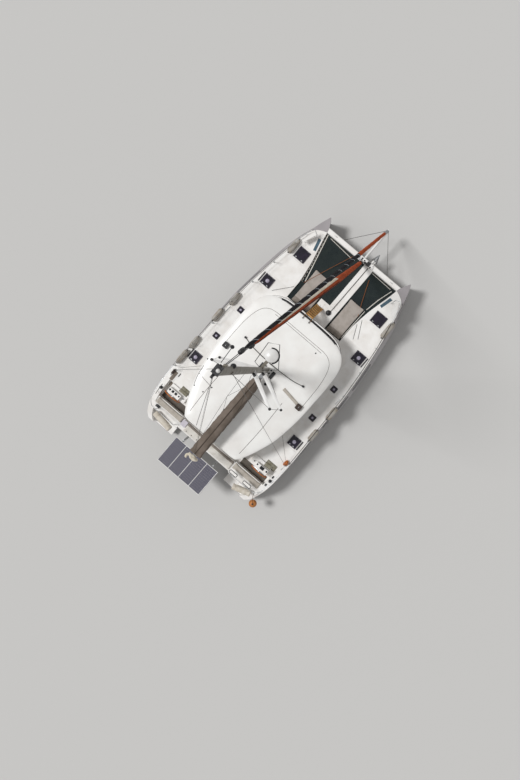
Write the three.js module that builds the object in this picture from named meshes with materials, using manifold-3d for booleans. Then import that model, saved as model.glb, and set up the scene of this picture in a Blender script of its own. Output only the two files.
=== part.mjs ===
// Cruising catamaran under bare mast, full size in millimetres.
// X points to the bow, Y to port and Z up. The origin is on the waterline, midships, on the centreline.
import * as THREE from "three";
import { mergeVertices } from "three/addons/utils/BufferGeometryUtils.js";
import Module from "manifold-3d";

const wasm = await Module();
wasm.setup();

// Driving dimensions
const GAP = 0.4; // between pieces that touch
const SHEER_Z = 1500; // top of the decks
const DECK_THICKNESS = 80;
const HALF_TUNNEL = 1500; // centreline to the inner side of each hull
const TUNNEL_Z = 770; // underside of the bridgedeck
const FLOOR_Z = 1050; // saloon, cockpit and helm floors
const PLATFORM_Z = 400; // swim platforms
const KNUCKLE_Z = 960; // widest line of the topsides, midships
const KNUCKLE_RISE = 0.03; // and its rise towards the bow
const HULL_WALL = 90;
const WELL_FRONT = -3950; // where each side deck ends at the helm well
const WELL_AFT = -5380; // where the helm bench ends at the swim platform
const FRONT_WALL_X = 2180; // front of the bridgedeck
const ROOF_BOTTOM_Z = 2801;
const MAST_X = -750;
const MAST_FOOT_Z = 3080;
const MAST_HEAD_Z = 18600;
const MAST_HALF = [135, 75]; // half chord and half width of the mast
const SHROUD_R = 7;
const CHAINPLATE = [-3500, 3250];
const CHAIN_POST_HEIGHT = 60;
const HOUNDS_Z = 16200;
const GOOSENECK = [-950, 3410]; // x and z of the boom's pin
const BEAM_X = [5370, 5620]; // aft and front faces of the forward crossbeam
const BEAM_Z = [1270, 1500];
const LONGERON_Y = [-630, -170];
const NOSE_Y = [-630, 310]; // platform ahead of the cabin, starboard and port edges
const NOSE_X = 3080;
const NET_Z = [1430, 1440];
const WHEEL = { x: -4430, y: 2520, z: 1560, rim: 400 };
const RUDDER_X = -5330;
const RUDDER_Y = 2410;
const DRIVE = { x: -4330, y: 2440, propZ: -800, propX: -4680 };
const SOLAR = { aft: -6900, fore: -5580, half: 1200, z: 1960 };

// Hull stations, port side, from the transom to the stem
const COLUMN = { x: 0, top: 1, low: 2, middle: 3, out: 4, wide: 5, edge: 6, depth: 7 };
const STATIONS = [
  // x, inner side, inner waterline, keel line, outer waterline, widest, deck edge, depth
  [-5990, 1560, 1800, 2330, 2720, 2850, 2840, 20],
  [-5760, 1520, 1780, 2370, 2850, 3050, 3040, 90],
  [-5300, 1500, 1760, 2410, 2930, 3210, 3195, 190],
  [-4760, 1500, 1750, 2430, 2990, 3340, 3315, 290],
  [-4200, 1500, 1745, 2440, 3020, 3400, 3360, 370],
  [-3200, 1500, 1745, 2450, 3050, 3465, 3385, 470],
  [-1600, 1500, 1750, 2455, 3060, 3475, 3345, 560],
  [0, 1500, 1760, 2455, 3050, 3465, 3290, 590],
  [1000, 1500, 1780, 2450, 3010, 3410, 3220, 590],
  [2000, 1500, 1820, 2440, 2940, 3295, 3110, 580],
  [3000, 1500, 1880, 2420, 2860, 3165, 2970, 560],
  [3870, 1620, 1950, 2390, 2750, 3010, 2820, 520],
  [4500, 1760, 2000, 2360, 2650, 2850, 2680, 480],
  [5030, 1890, 2060, 2330, 2540, 2670, 2560, 420],
  [5550, 1995, 2130, 2290, 2400, 2470, 2430, 330],
  [5990, 2235, 2240, 2250, 2260, 2265, 2264, 150],
];
const BILGE_STEPS = 10;
const WATER_BAND_Z = 60; // where the bilge curve meets the topsides

// The stations with one more between each two, on smooth curves. A level run stays level.
function fairedStations() {
  const slope = (i, column) => {
    const [a, b, c] = [STATIONS[i - 1], STATIONS[i], STATIONS[i + 1]];
    if (!a || !c || a[column] === b[column] || b[column] === c[column]) {
      return null;
    }
    return (c[column] - a[column]) / (c[COLUMN.x] - a[COLUMN.x]);
  };
  const halfway = (i) => STATIONS[i].map((value, column) => {
    const next = STATIONS[i + 1][column];
    const run = STATIONS[i + 1][COLUMN.x] - STATIONS[i][COLUMN.x];
    const chord = (next - value) / run;
    const bulge = ((slope(i, column) ?? chord) - (slope(i + 1, column) ?? chord)) * run / 8;
    return (value + next) / 2 + (column === COLUMN.x ? 0 : bulge);
  });
  return STATIONS.flatMap((row, i) => (i + 1 < STATIONS.length ? [row, halfway(i)] : [row]));
}

const ROWS = fairedStations();

// Height of the quarter's rail cap along the stern
const RAIL_CAP = [
  // x, z
  [WELL_FRONT, SHEER_Z],
  [-5050, SHEER_Z],
  [-5500, 1180],
  [-5980, 760],
];

const COLOURS = {
  gelcoat: [0xeceae6, 0.3, 0],
  topsides: [0xa09ba0, 0.35, 0],
  antifouling: [0x3a4048, 0.8, 0],
  teak: [0xa8743c, 0.7, 0],
  glass: [0x231c2c, 0.1, 0],
  net: [0x2d3230, 0.9, 0],
  pad: [0xaca49e, 0.9, 0],
  canvas: [0x70665e, 0.9, 0],
  strip: [0x963c19, 0.9, 0],
  black: [0x16161a, 0.8, 0],
  alloy: [0xb9bbbd, 0.4, 0.9],
  steel: [0xcdd0d2, 0.2, 1],
  bronze: [0xb08d4a, 0.35, 1],
  leather: [0xbe7038, 0.6, 0],
  solar: [0x555064, 0.25, 0],
  engine: [0x4a5b63, 0.5, 0.4],
};

const FAN = -1; // for loft, when its end rings are convex and lie in no main plane

// Geometry helpers. Each returns an indexed geometry that holds positions only.
function bare(geometry) {
  geometry.deleteAttribute("normal");
  geometry.deleteAttribute("uv");
  return mergeVertices(geometry, 0.01);
}

function toSolid(geometry) {
  const vertProperties = new Float32Array(geometry.attributes.position.array);
  const triVerts = new Uint32Array(geometry.index.array);
  return new wasm.Manifold(new wasm.Mesh({ numProp: 3, vertProperties, triVerts }));
}

function toGeometry(solid) {
  const mesh = solid.getMesh();
  const geometry = new THREE.BufferGeometry();
  geometry.setAttribute("position", new THREE.BufferAttribute(new Float32Array(mesh.vertProperties), 3));
  geometry.setIndex(new THREE.BufferAttribute(new Uint32Array(mesh.triVerts), 1));
  return geometry;
}

function join(first, ...others) {
  return toGeometry(others.reduce((sum, other) => sum.add(toSolid(other)), toSolid(first)));
}

function cut(first, ...others) {
  return toGeometry(others.reduce((rest, other) => rest.subtract(toSolid(other)), toSolid(first)));
}

function common(first, second) {
  return toGeometry(toSolid(first).intersect(toSolid(second)));
}

function moved(geometry, x, y, z) {
  return geometry.clone().translate(x, y, z);
}

function flipped(geometry) {
  const index = geometry.index.array;
  for (let i = 0; i < index.length; i += 3) {
    [index[i], index[i + 1]] = [index[i + 1], index[i]];
  }
  return geometry;
}

// The same piece on the other side of the centreline when side is -1
function onSide(geometry, side) {
  return side > 0 ? geometry : flipped(geometry.clone().scale(1, -1, 1));
}

function box(x0, x1, y0, y1, z0, z1) {
  const geometry = new THREE.BoxGeometry(x1 - x0, y1 - y0, z1 - z0);
  return bare(geometry).translate((x0 + x1) / 2, (y0 + y1) / 2, (z0 + z1) / 2);
}

function extruded(outline, depth) {
  const shape = new THREE.Shape(outline.map(([u, v]) => new THREE.Vector2(u, v)));
  return bare(new THREE.ExtrudeGeometry(shape, { depth, bevelEnabled: false }));
}

// A plan outline of [x, y] points, raised from z0 to z1
function slab(outline, z0, z1) {
  return extruded(outline, z1 - z0).translate(0, 0, z0);
}

// A side outline of [x, z] points, wide from y0 to y1
function profile(outline, y0, y1) {
  return extruded(outline, y1 - y0).rotateX(Math.PI / 2).translate(0, y1, 0);
}

function rod(start, end, radius, sides = 8, endRadius = radius) {
  const from = new THREE.Vector3(...start);
  const along = new THREE.Vector3(...end).sub(from);
  const turn = new THREE.Quaternion();
  turn.setFromUnitVectors(new THREE.Vector3(0, 1, 0), along.clone().normalize());
  const geometry = bare(new THREE.CylinderGeometry(endRadius, radius, along.length(), sides));
  const middle = from.addScaledVector(along, 0.5);
  return geometry.applyQuaternion(turn).translate(middle.x, middle.y, middle.z);
}

// A turned shape of [radius, share of the way] rows along a line
function turned(rows, start, end, sides = 12) {
  const from = new THREE.Vector3(...start);
  const along = new THREE.Vector3(...end).sub(from);
  const length = along.length();
  const turn = new THREE.Quaternion();
  turn.setFromUnitVectors(new THREE.Vector3(0, 1, 0), along.normalize());
  const points = rows.map(([radius, share]) => new THREE.Vector2(radius, share * length));
  const geometry = bare(new THREE.LatheGeometry(points, sides)).applyQuaternion(turn);
  const placed = geometry.translate(from.x, from.y, from.z);
  return signedVolume(placed) < 0 ? flipped(placed) : placed;
}

// A bent tube through a list of points, mitred at each bend
function wire(points, radius, sides = 6) {
  const path = points.map((point) => new THREE.Vector3(...point));
  const runs = path.slice(1).map((point, i) => point.clone().sub(path[i]).normalize());
  const helper = Math.abs(runs[0].z) < 0.9 ? new THREE.Vector3(0, 0, 1) : new THREE.Vector3(1, 0, 0);
  const u = helper.clone().cross(runs[0]).normalize();
  const v = runs[0].clone().cross(u);
  let offsets = Array.from({ length: sides }, (_, i) => {
    const angle = (2 * Math.PI * i) / sides;
    return u.clone().multiplyScalar(radius * Math.cos(angle)).addScaledVector(v, radius * Math.sin(angle));
  });
  const rings = path.map((point, i) => {
    if (i > 0 && i < runs.length) {
      const mitre = runs[i - 1].clone().add(runs[i]).normalize();
      const slope = runs[i - 1].dot(mitre);
      const [before, after] = [runs[i - 1], runs[i]];
      const shifted = offsets.map((offset) => (
        offset.clone().addScaledVector(before, -offset.dot(mitre) / slope)));
      offsets = shifted.map((offset) => offset.clone().addScaledVector(after, -offset.dot(after)));
      return shifted.map((offset) => point.clone().add(offset).toArray());
    }
    return offsets.map((offset) => point.clone().add(offset).toArray());
  });
  return loft(rings, FAN);
}

// Triangles that fill a ring, turning the way the ring does
function capTriangles(ring, flat) {
  if (flat === FAN) {
    return ring.slice(2).map((_, i) => [0, i + 1, i + 2]);
  }
  const points = ring.map((point) => new THREE.Vector2(...point.filter((_, axis) => axis !== flat)));
  const turn = Math.sign(THREE.ShapeUtils.area(points));
  return THREE.ShapeUtils.triangulateShape(points, []).map(([a, b, c]) => {
    const same = Math.sign(THREE.ShapeUtils.area([points[a], points[b], points[c]])) === turn;
    return same ? [a, b, c] : [b, a, c];
  });
}

// A closed skin through rings of equal length. flat is the axis along which the rings are stacked.
function loft(rings, flat) {
  const count = rings[0].length;
  const positions = rings.flat(2);
  const index = [];
  for (let r = 0; r + 1 < rings.length; r += 1) {
    for (let i = 0; i < count; i += 1) {
      const a = r * count + i;
      const b = r * count + ((i + 1) % count);
      index.push(a, b, b + count, a, b + count, a + count);
    }
  }
  const last = (rings.length - 1) * count;
  index.push(...capTriangles(rings[0], flat).flatMap(([a, b, c]) => [b, a, c]));
  index.push(...capTriangles(rings.at(-1), flat).flat().map((i) => i + last));
  const geometry = new THREE.BufferGeometry();
  geometry.setAttribute("position", new THREE.BufferAttribute(new Float32Array(positions), 3));
  geometry.setIndex(index);
  return signedVolume(geometry) < 0 ? flipped(geometry) : geometry;
}

function signedVolume(geometry) {
  const p = geometry.attributes.position;
  const index = geometry.index.array;
  const corner = (i) => new THREE.Vector3().fromBufferAttribute(p, index[i]);
  let volume = 0;
  for (let i = 0; i < index.length; i += 3) {
    volume += corner(i).dot(corner(i + 1).cross(corner(i + 2))) / 6;
  }
  return volume;
}

// Value of one column of the hull's rows at x, read straight between them
function station(x, column) {
  const next = Math.min(Math.max(ROWS.findIndex((row) => row[0] >= x), 1), ROWS.length - 1);
  const [a, b] = [ROWS[next - 1], ROWS[next]];
  return a[column] + ((b[column] - a[column]) * (x - a[0])) / (b[0] - a[0]);
}

function railCap(x) {
  const next = Math.max(RAIL_CAP.findIndex((row) => row[0] <= x), 1);
  const [a, b] = [RAIL_CAP[next - 1], RAIL_CAP[next]];
  return a[1] + ((b[1] - a[1]) * (x - a[0])) / (b[0] - a[0]);
}

// Outline moved inwards by a distance, for an outline that turns left
function inset(outline, distance) {
  const count = outline.length;
  return outline.map(([x, y], i) => {
    const [px, py] = outline[(i + count - 1) % count];
    const [nx, ny] = outline[(i + 1) % count];
    const a = new THREE.Vector2(x - px, y - py).normalize();
    const b = new THREE.Vector2(nx - x, ny - y).normalize();
    const normal = new THREE.Vector2(-a.y - b.y, a.x + b.x).normalize();
    const reach = distance / Math.max(normal.dot(new THREE.Vector2(-a.y, a.x)), 0.5);
    return [x + normal.x * reach, y + normal.y * reach];
  });
}

// The outline with its corners cut at a quarter of the runs beside them, and both ends kept
function softened(outline) {
  const towards = (a, b) => [a[0] + (b[0] - a[0]) / 4, a[1] + (b[1] - a[1]) / 4];
  const corners = outline.slice(1, -1);
  const cuts = corners.flatMap((corner, i) => [towards(corner, outline[i]), towards(corner, outline[i + 2])]);
  return [outline[0], ...cuts, outline.at(-1)];
}

// A half outline for the port side, completed on the starboard side
function bothSides(half) {
  const other = half.filter(([, y]) => y > 0).map(([x, y]) => [x, -y]);
  return [...half, ...other.reverse()];
}

const boat = new THREE.Group();

function add(name, geometry, finish) {
  const [color, roughness, metalness] = COLOURS[finish];
  const mesh = new THREE.Mesh(geometry, new THREE.MeshStandardMaterial({ color, roughness, metalness }));
  mesh.name = name;
  boat.add(mesh);
  return mesh;
}

function addPair(name, build, finish) {
  for (const [side, word] of [[1, "port"], [-1, "starboard"]]) {
    add(`${name}_${word}`, onSide(build(side), side), finish);
  }
}

// Hulls
function hullRing(row) {
  const [x, top, low, middle, out, wide, edge, depth] = row;
  const ring = [[x, top, SHEER_Z], [x, top, TUNNEL_Z]];
  for (let i = 0; i <= BILGE_STEPS; i += 1) {
    const angle = (Math.PI * i) / BILGE_STEPS;
    const half = i * 2 < BILGE_STEPS ? middle - low : out - middle;
    const across = Math.sign(Math.cos(angle)) * Math.abs(Math.cos(angle)) ** 0.7;
    const down = i === BILGE_STEPS ? 0 : Math.sin(angle) ** 0.9;
    ring.push([x, middle - half * across, WATER_BAND_Z - (depth + WATER_BAND_Z) * down]);
  }
  ring.push([x, wide, KNUCKLE_Z + KNUCKLE_RISE * x], [x, edge, SHEER_Z]);
  return ring;
}

const HULL_FORM = loft(ROWS.map(hullRing), 0);

// Curved front of the side deck
const DECK_FRONT = [
  // x, y
  [5210, 2370],
  [5320, 2180],
];
const DECK_TIP_X = 5400;

// Plan outline of a side deck. front and out move its front curve and its outer edge.
function deckOutline(front, out) {
  const rows = ROWS.filter(([x]) => x > WELL_FRONT && x < 5200);
  const outer = rows.map((row) => [row[COLUMN.x], row[COLUMN.edge] + out]);
  const inner = rows.map((row) => [row[COLUMN.x], row[COLUMN.top] + GAP]).reverse();
  const corner = [rows.at(-1)[COLUMN.x], rows.at(-1)[COLUMN.edge]];
  const tip = [DECK_TIP_X, station(DECK_TIP_X, COLUMN.top) + GAP];
  const curve = softened([corner, ...DECK_FRONT, tip]).slice(1).map(([x, y]) => [x + front, y]);
  return [
    [WELL_FRONT, station(WELL_FRONT, COLUMN.edge) + out], ...outer,
    ...curve, ...inner, [WELL_FRONT, HALF_TUNNEL + GAP],
  ];
}

// A trough from y0 to the hull's wall, above z0, between two places along the hull
function trough(x0, x1, y0, z0, wall) {
  const places = [x0, ...ROWS.map(([x]) => x).filter((x) => x > x0 && x < x1), x1];
  const rings = places.map((x) => {
    const outer = station(x, COLUMN.edge) - wall;
    return [[x, y0, z0], [x, outer, z0], [x, outer, 2000], [x, y0, 2000]];
  });
  return loft(rings, 0);
}

const BORE_R = 31.3;
const STOCK_R = 30.3;
const DECK_UNDER_Z = SHEER_Z - DECK_THICKNESS;
const WELL_UNDER_Z = FLOOR_Z - 50;
const PLATFORM_UNDER_Z = PLATFORM_Z - 30;
const STOCK_TOP_Z = PLATFORM_UNDER_Z - 100;
const ENGINE_ROOM = [-5000, -4150, 2150, 2750, -40, FLOOR_Z];

function hull() {
  const railLine = RAIL_CAP.map(([x, z]) => [x, z - DECK_THICKNESS]);
  const aboveRail = [...railLine, [-6200, 500], [-6200, 2000], [WELL_FRONT, 2000]];
  const topInner = [[6200, 1400], [-6200, 1400], [-6200, 1200]];
  return cut(
    HULL_FORM,
    slab(deckOutline(GAP, 100), DECK_UNDER_Z, 2000),
    box(WELL_FRONT - 1, WELL_FRONT + 1, 1400, 3600, DECK_UNDER_Z, 2000),
    profile(aboveRail, 1400, 3600),
    trough(WELL_AFT, WELL_FRONT, 1400, WELL_UNDER_Z, HULL_WALL),
    trough(-6300, WELL_AFT + 1, 1400, PLATFORM_UNDER_Z, HULL_WALL),
    box(...ENGINE_ROOM),
    rod([RUDDER_X, RUDDER_Y, -400], [RUDDER_X, RUDDER_Y, STOCK_TOP_Z], BORE_R, 24),
  );
}

const PORT_HULL = hull();

// Fin keel below each hull
function keel() {
  const ring = (z, fore, aft, half) => {
    const section = [[1, 0], [0.85, 0.75], [0.55, 1], [0, 0.85], [-0.6, 0.45], [-1, 0.06]];
    const middle = (fore + aft) / 2;
    const length = (fore - aft) / 2;
    const port = section.map(([u, v]) => [middle + u * length, 2440 + v * half, z]);
    const starboard = section.slice(1).map(([u, v]) => [middle + u * length, 2440 - v * half, z]);
    return [...port, ...starboard.reverse()];
  };
  const fin = loft([ring(-1250, 900, -1150, 90), ring(-300, 1250, -1350, 150)], 2);
  return cut(fin, moved(HULL_FORM, 0, 0, -GAP));
}

// Bridgedeck with the platform ahead of the cabin and the base of the cockpit's aft bench
function bridgedeck() {
  const half = HALF_TUNNEL - GAP;
  const floor = [[-5330, TUNNEL_Z], [1650, TUNNEL_Z], [FRONT_WALL_X, 1120], [FRONT_WALL_X, SHEER_Z],
    [1980, SHEER_Z], [1980, FLOOR_Z], [-5330, FLOOR_Z]];
  const nose = [[2000, 1050], [2700, 1200], [NOSE_X, 1400], [NOSE_X, SHEER_Z], [2000, SHEER_Z]];
  return join(
    profile(floor, -half, half),
    profile(nose, NOSE_Y[0], NOSE_Y[1]),
    box(-5330, -4840, -half, half, FLOOR_Z - 10, 1430),
  );
}

// White quarter moulding: rail cap, inner wall, helm floor, console, bench base and swim platform
const CAP_WIDTH = 270; // of the rail cap and the wall below it
const CONSOLE = { aft: -4370, inner: 1950, outer: 2860, z: 1600 };
const POD = { fore: -4130, inner: 2200, outer: 2840, z: 1800 }; // instruments on the console
const STAIR = { aft: -4180, z: 1275 }; // between the console and the rail cap
const COAMING = { aft: -4560, outer: 1620 }; // between the cockpit and the helm
const BENCH = { fore: -4800, z: 1450 }; // helm bench
const STEP = { aft: -5560, z: 720 }; // from the platform up to the helm
const TRANSOM = { x: -5970, inner: 1565 };

function quarter() {
  const bends = [...ROWS.map(([x]) => x), ...RAIL_CAP.map(([x]) => x)];
  const between = bends.filter((x) => x < WELL_FRONT - 1 && x > -5980).sort((a, b) => b - a);
  const places = [WELL_FRONT - GAP, ...between, -5980];
  const rings = (inner, outer, low) => places.map((x) => {
    const edge = station(x, COLUMN.edge);
    const top = railCap(x);
    const bottom = low(top);
    return [
      [x, edge - inner, bottom], [x, edge - outer, bottom],
      [x, edge - outer, top], [x, edge - inner, top],
    ];
  });
  const cap = loft(rings(CAP_WIDTH, 0, (top) => top - DECK_THICKNESS + GAP), 0);
  const wall = loft(rings(CAP_WIDTH, HULL_WALL + GAP, () => PLATFORM_UNDER_Z + GAP), 0);
  const well = [WELL_AFT, WELL_FRONT - GAP];
  const side = HALF_TUNNEL + GAP;
  const inWell = (x0, x1, y0, z0, z1) => common(
    box(x0, x1, y0, 3600, z0, z1), trough(x0, x1, y0, z0, HULL_WALL + GAP));
  const upper = cut(join(cap, wall), box(...well, 1400, 3600, 0, WELL_UNDER_Z + GAP));
  const low = FLOOR_Z - 1;
  const { x: stern, inner } = TRANSOM;
  return join(
    upper,
    inWell(...well, side, WELL_UNDER_Z + GAP, FLOOR_Z),
    box(CONSOLE.aft, well[1], CONSOLE.inner, CONSOLE.outer, low, CONSOLE.z),
    inWell(STAIR.aft, well[1], CONSOLE.outer - 1, low, STAIR.z),
    box(COAMING.aft, well[1], side, COAMING.outer, low, SHEER_Z),
    box(CONSOLE.aft, POD.fore, POD.inner, POD.outer, CONSOLE.z - 1, POD.z),
    inWell(WELL_AFT, BENCH.fore, side, low, BENCH.z),
    inWell(stern, WELL_AFT - GAP, inner, PLATFORM_UNDER_Z + GAP, PLATFORM_Z),
    inWell(STEP.aft, WELL_AFT + 1, inner, PLATFORM_Z - 1, STEP.z),
    inWell(WELL_AFT - 1, WELL_AFT + 1, inner, WELL_UNDER_Z - 200, WELL_UNDER_Z + 10),
  );
}

// Side deck with wells below its opening hatches
const HATCHES = [
  // name, front edge x, aft edge x, inner y, outer y
  ["bow_hatch", 4240, 3690, 1890, 2460],
  ["cabin_hatch", 2390, 1900, 2345, 2850],
  ["aft_hatch", -2200, -2680, 2630, 3080],
];
const HATCH_RIM = 45;
const HATCH_THICKNESS = 35;

function sideDeck() {
  const plate = slab(deckOutline(0, 0), DECK_UNDER_Z + GAP, SHEER_Z);
  const wells = HATCHES.map(([, fore, aft, inner, outer]) => box(
    aft + HATCH_RIM, fore - HATCH_RIM, inner + HATCH_RIM, outer - HATCH_RIM, 1300, 1600));
  const post = box(CHAINPLATE[0] - 25, CHAINPLATE[0] + 25, CHAINPLATE[1] - 25, CHAINPLATE[1] + 25,
    SHEER_Z - 1, SHEER_Z + CHAIN_POST_HEIGHT);
  return join(cut(plate, ...wells), post);
}

function hatchLid(fore, aft, inner, outer) {
  return box(aft, fore, inner, outer, SHEER_Z + GAP, SHEER_Z + HATCH_THICKNESS);
}

// Cabin walls in a plan outline, leaning in towards the roof
const CABIN_HALF = [
  // x, y
  [-2240, 2215],
  [900, 2215],
  [1400, 2150],
  [1780, 1960],
  [2020, 1640],
  [2130, 1250],
  [2160, 700],
];
const CABIN_LEAN = 60;
const CABIN_WALL = 60;
const GLAZING = 14;

// Shell of the cabin's sides and front, between two offsets outside the walls and two heights
function cabinShell(outside, inside, z0, z1) {
  const outline = (offset, z) => {
    const lean = (CABIN_LEAN * (z - SHEER_Z)) / (ROOF_BOTTOM_Z - SHEER_Z);
    const whole = bothSides(softened(CABIN_HALF)).reverse();
    return inset(whole, lean - offset).map(([x, y], i) => [whole[i][0] < -2000 ? whole[i][0] : x, y, z]);
  };
  const outer = loft([outline(outside, z0), outline(outside, z1)], 2);
  const inner = loft([outline(inside, z0 - 5), outline(inside, z1 + 5)], 2);
  const doorless = box(-2300, -2200, -2140, 2140, z0 - 9, z1 + 9);
  return cut(outer, inner, doorless);
}

const WINDOW_Z = [1880, 2620];
const SIDE_WINDOWS = [[-2080, -1200], [-1100, -200], [-100, 850]];
const FRONT_WINDOWS = [[-1050, -380], [-320, 320], [380, 1050]];

function cabinWalls() {
  const shell = cabinShell(0, -CABIN_WALL, SHEER_Z + GAP, ROOF_BOTTOM_Z - GAP);
  const sides = SIDE_WINDOWS.map(([aft, fore]) => box(aft, fore, -2400, 2400, ...WINDOW_Z));
  const front = FRONT_WINDOWS.map(([y0, y1]) => box(1800, 2300, y0, y1, ...WINDOW_Z));
  return cut(shell, ...sides, ...front);
}

function cabinGlazing() {
  return cabinShell(GLAZING, GAP, WINDOW_Z[0] - 60, WINDOW_Z[1] + 60);
}

const BULKHEAD_X = [-2310, -2250];
const DOORWAY = { y0: -100, y1: 760, top: 2640, sill: FLOOR_Z + 12 };

function aftBulkhead() {
  const [aft, fore] = BULKHEAD_X;
  const low = box(aft, fore, -HALF_TUNNEL + 1, HALF_TUNNEL - 1, FLOOR_Z + GAP, SHEER_Z + 50);
  const high = box(aft, fore, -2140, 2140, SHEER_Z + GAP, ROOF_BOTTOM_Z - GAP);
  const sill = box(aft - 75, aft + 1, -1000, 800, FLOOR_Z + GAP, DOORWAY.sill);
  const topTrack = box(aft - 75, aft + 1, -1000, 800, 2720 + GAP, 2760);
  const doorway = box(aft - 10, fore + 10, DOORWAY.y0, DOORWAY.y1, DOORWAY.sill, DOORWAY.top);
  const galleyWindow = box(aft - 10, fore + 10, -1850, -480, 1650, 2600);
  const portWindow = box(aft - 10, fore + 10, 1050, 1850, 1650, 2600);
  return cut(join(low, high, sill, topTrack), doorway, galleyWindow, portWindow);
}

function saloonDoor() {
  const x = BULKHEAD_X[0] - 50;
  return box(x, x + 40, DOORWAY.y0 - 40, DOORWAY.y1 + 20, DOORWAY.sill + GAP, 2720);
}

// Roof with its two aft legs and the mast's plinth
const ROOF_HALF = [
  // x, y
  [-4560, 1380],
  [-4380, 1540],
  [-3900, 1800],
  [-3100, 2100],
  [-2500, 2250],
  [-1500, 2370],
  [300, 2385],
  [1100, 2330],
  [1560, 2120],
  [1850, 1750],
  [1970, 1300],
  [2010, 600],
];
const ROOF_LAYERS = [
  // z, distance in from the widest line
  [ROOF_BOTTOM_Z, 120],
  [2840, 15],
  [2875, 0],
  [2915, 25],
  [2945, 110],
  [2970, 320],
];

const LEG = { foot: [-4400, 1560], head: [-4180, 1440], radius: 45 };
const PLINTH = [260, 200]; // half length and half width of the mast's step

function roof() {
  const whole = bothSides(softened(ROOF_HALF)).reverse();
  const rings = ROOF_LAYERS.map(([z, distance]) => inset(whole, distance).map(([x, y]) => [x, y, z]));
  const shell = loft(rings, 2);
  const legs = [1, -1].map((side) => {
    const [[x0, y0], [x1, y1]] = [LEG.foot, LEG.head];
    const leg = rod([x0, side * y0, SHEER_Z], [x1, side * y1, ROOF_BOTTOM_Z + 60], LEG.radius, 10);
    return common(leg, box(-5000, -3000, -1800, 1800, SHEER_Z + GAP, ROOF_BOTTOM_Z + 70));
  });
  const [length, width] = PLINTH;
  const plinth = box(MAST_X - length, MAST_X + length, -width, width, ROOF_BOTTOM_Z + 100, MAST_FOOT_Z);
  return join(shell, plinth, ...legs);
}

// Mast with its spreaders, radar dome and fittings
const SPREADERS = [
  // root z, tip x, tip y, tip z
  [5950, -1420, 1540, 6050],
  [9850, -1350, 1260, 9950],
];
const RADAR = { x: -60, z: 7000, radius: 265, height: 230 };
const DOME = [
  // share of the radius, share of the height
  [0, 0],
  [0.9, 0],
  [1, 0.3],
  [0.95, 0.75],
  [0.6, 1],
  [0, 1],
];
const TANG_X = MAST_X + 190; // where both furled headsails' stays end
const GENOA_TANG_Z = 17750;
const CODE_TANG_Z = 18050;
const MASTHEAD = { aft: -90, fore: 150, half: 90, low: -60, high: 60 }; // box about the mast's head

// The two arms of one pair of spreaders, each tapering from the mast to its tip
function spreaderPair([rootZ, tipX, tipY, tipZ]) {
  const ring = (side, x, y, z, chord, thick) => [
    [x + chord, side * y, z], [x, side * y, z + thick],
    [x - chord, side * y, z], [x, side * y, z - thick],
  ];
  return [1, -1].map((side) => loft([
    ring(side, MAST_X, 30, rootZ, 90, 25),
    ring(side, tipX, tipY - 12, tipZ, 60, 14),
  ], 1));
}

function radarDome() {
  const outline = DOME.map(([r, z]) => new THREE.Vector2(r * RADAR.radius, z * RADAR.height));
  const dome = bare(new THREE.LatheGeometry(outline, 20));
  return dome.rotateX(Math.PI / 2).translate(RADAR.x, 0, RADAR.z);
}

function mast() {
  const sides = 16;
  const ellipse = Array.from({ length: sides }, (_, i) => {
    const angle = (2 * Math.PI * i) / sides;
    return [MAST_X + MAST_HALF[0] * Math.cos(angle), MAST_HALF[1] * Math.sin(angle)];
  });
  const tube = slab(ellipse, MAST_FOOT_Z + GAP, MAST_HEAD_Z);
  const bracket = box(MAST_X + 60, RADAR.x, -60, 60, RADAR.z - 60, RADAR.z + 10);
  const tangs = box(MAST_X - 40, MAST_X + 40, -95, 95, HOUNDS_Z, HOUNDS_Z + 60);
  const stayTangs = [GENOA_TANG_Z, CODE_TANG_Z].map((z) => box(MAST_X, TANG_X, -30, 30, z - 40, z + 40));
  const { aft, fore, half, low, high } = MASTHEAD;
  const masthead = box(
    MAST_X + aft, MAST_X + fore, -half, half, MAST_HEAD_Z + low, MAST_HEAD_Z + high,
  );
  const [pinX, pinZ] = GOOSENECK;
  const lugs = [pinZ - PIN_HALF - 20, pinZ + PIN_HALF + GAP].map((z) => (
    box(pinX - 35, MAST_X, -35, 35, z, z + 20 - GAP)));
  const arms = SPREADERS.flatMap(spreaderPair);
  return join(tube, ...arms, radarDome(), bracket, tangs, ...stayTangs, masthead, ...lugs);
}

const PIN_HALF = 80; // half the height of the boom's pin
const BOOM_AFT = -5400;
const BOOM_HALF_WIDTH = 80;
const BOOM_FORE = GOOSENECK[0] - 120;
const BOOM_TOP = { aft: GOOSENECK[1] + 70, fore: GOOSENECK[1] + 110 };

function boom() {
  const [x, z] = GOOSENECK;
  const nose = rod([x, 0, z - PIN_HALF + GAP], [x, 0, z + PIN_HALF - GAP], 34, 16);
  const neck = box(x - 70, x, -25, 25, z - 70, z + 70);
  const side = [
    [x - 60, z - 90], [BOOM_FORE, z - 110], [BOOM_AFT, z - 80],
    [BOOM_AFT, BOOM_TOP.aft], [BOOM_FORE, BOOM_TOP.fore], [x - 60, z + 90],
  ];
  return join(nose, neck, profile(side, -BOOM_HALF_WIDTH, BOOM_HALF_WIDTH));
}

// Stacked mainsail in its bag on the boom
const BAG = [
  // x, half width, top z
  [-5350, 290, 3660],
  [-4800, 295, 3760],
  [-3800, 280, 3930],
  [-2800, 245, 4080],
  [-2000, 225, 4200],
  [-1400, 190, 4300],
  [-1180, 110, 4280],
];

const BAG_SECTION = [
  // share of the half width, share of the height
  [0.7, 0],
  [1, 0.35],
  [0.75, 0.75],
  [0, 1],
];

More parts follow.
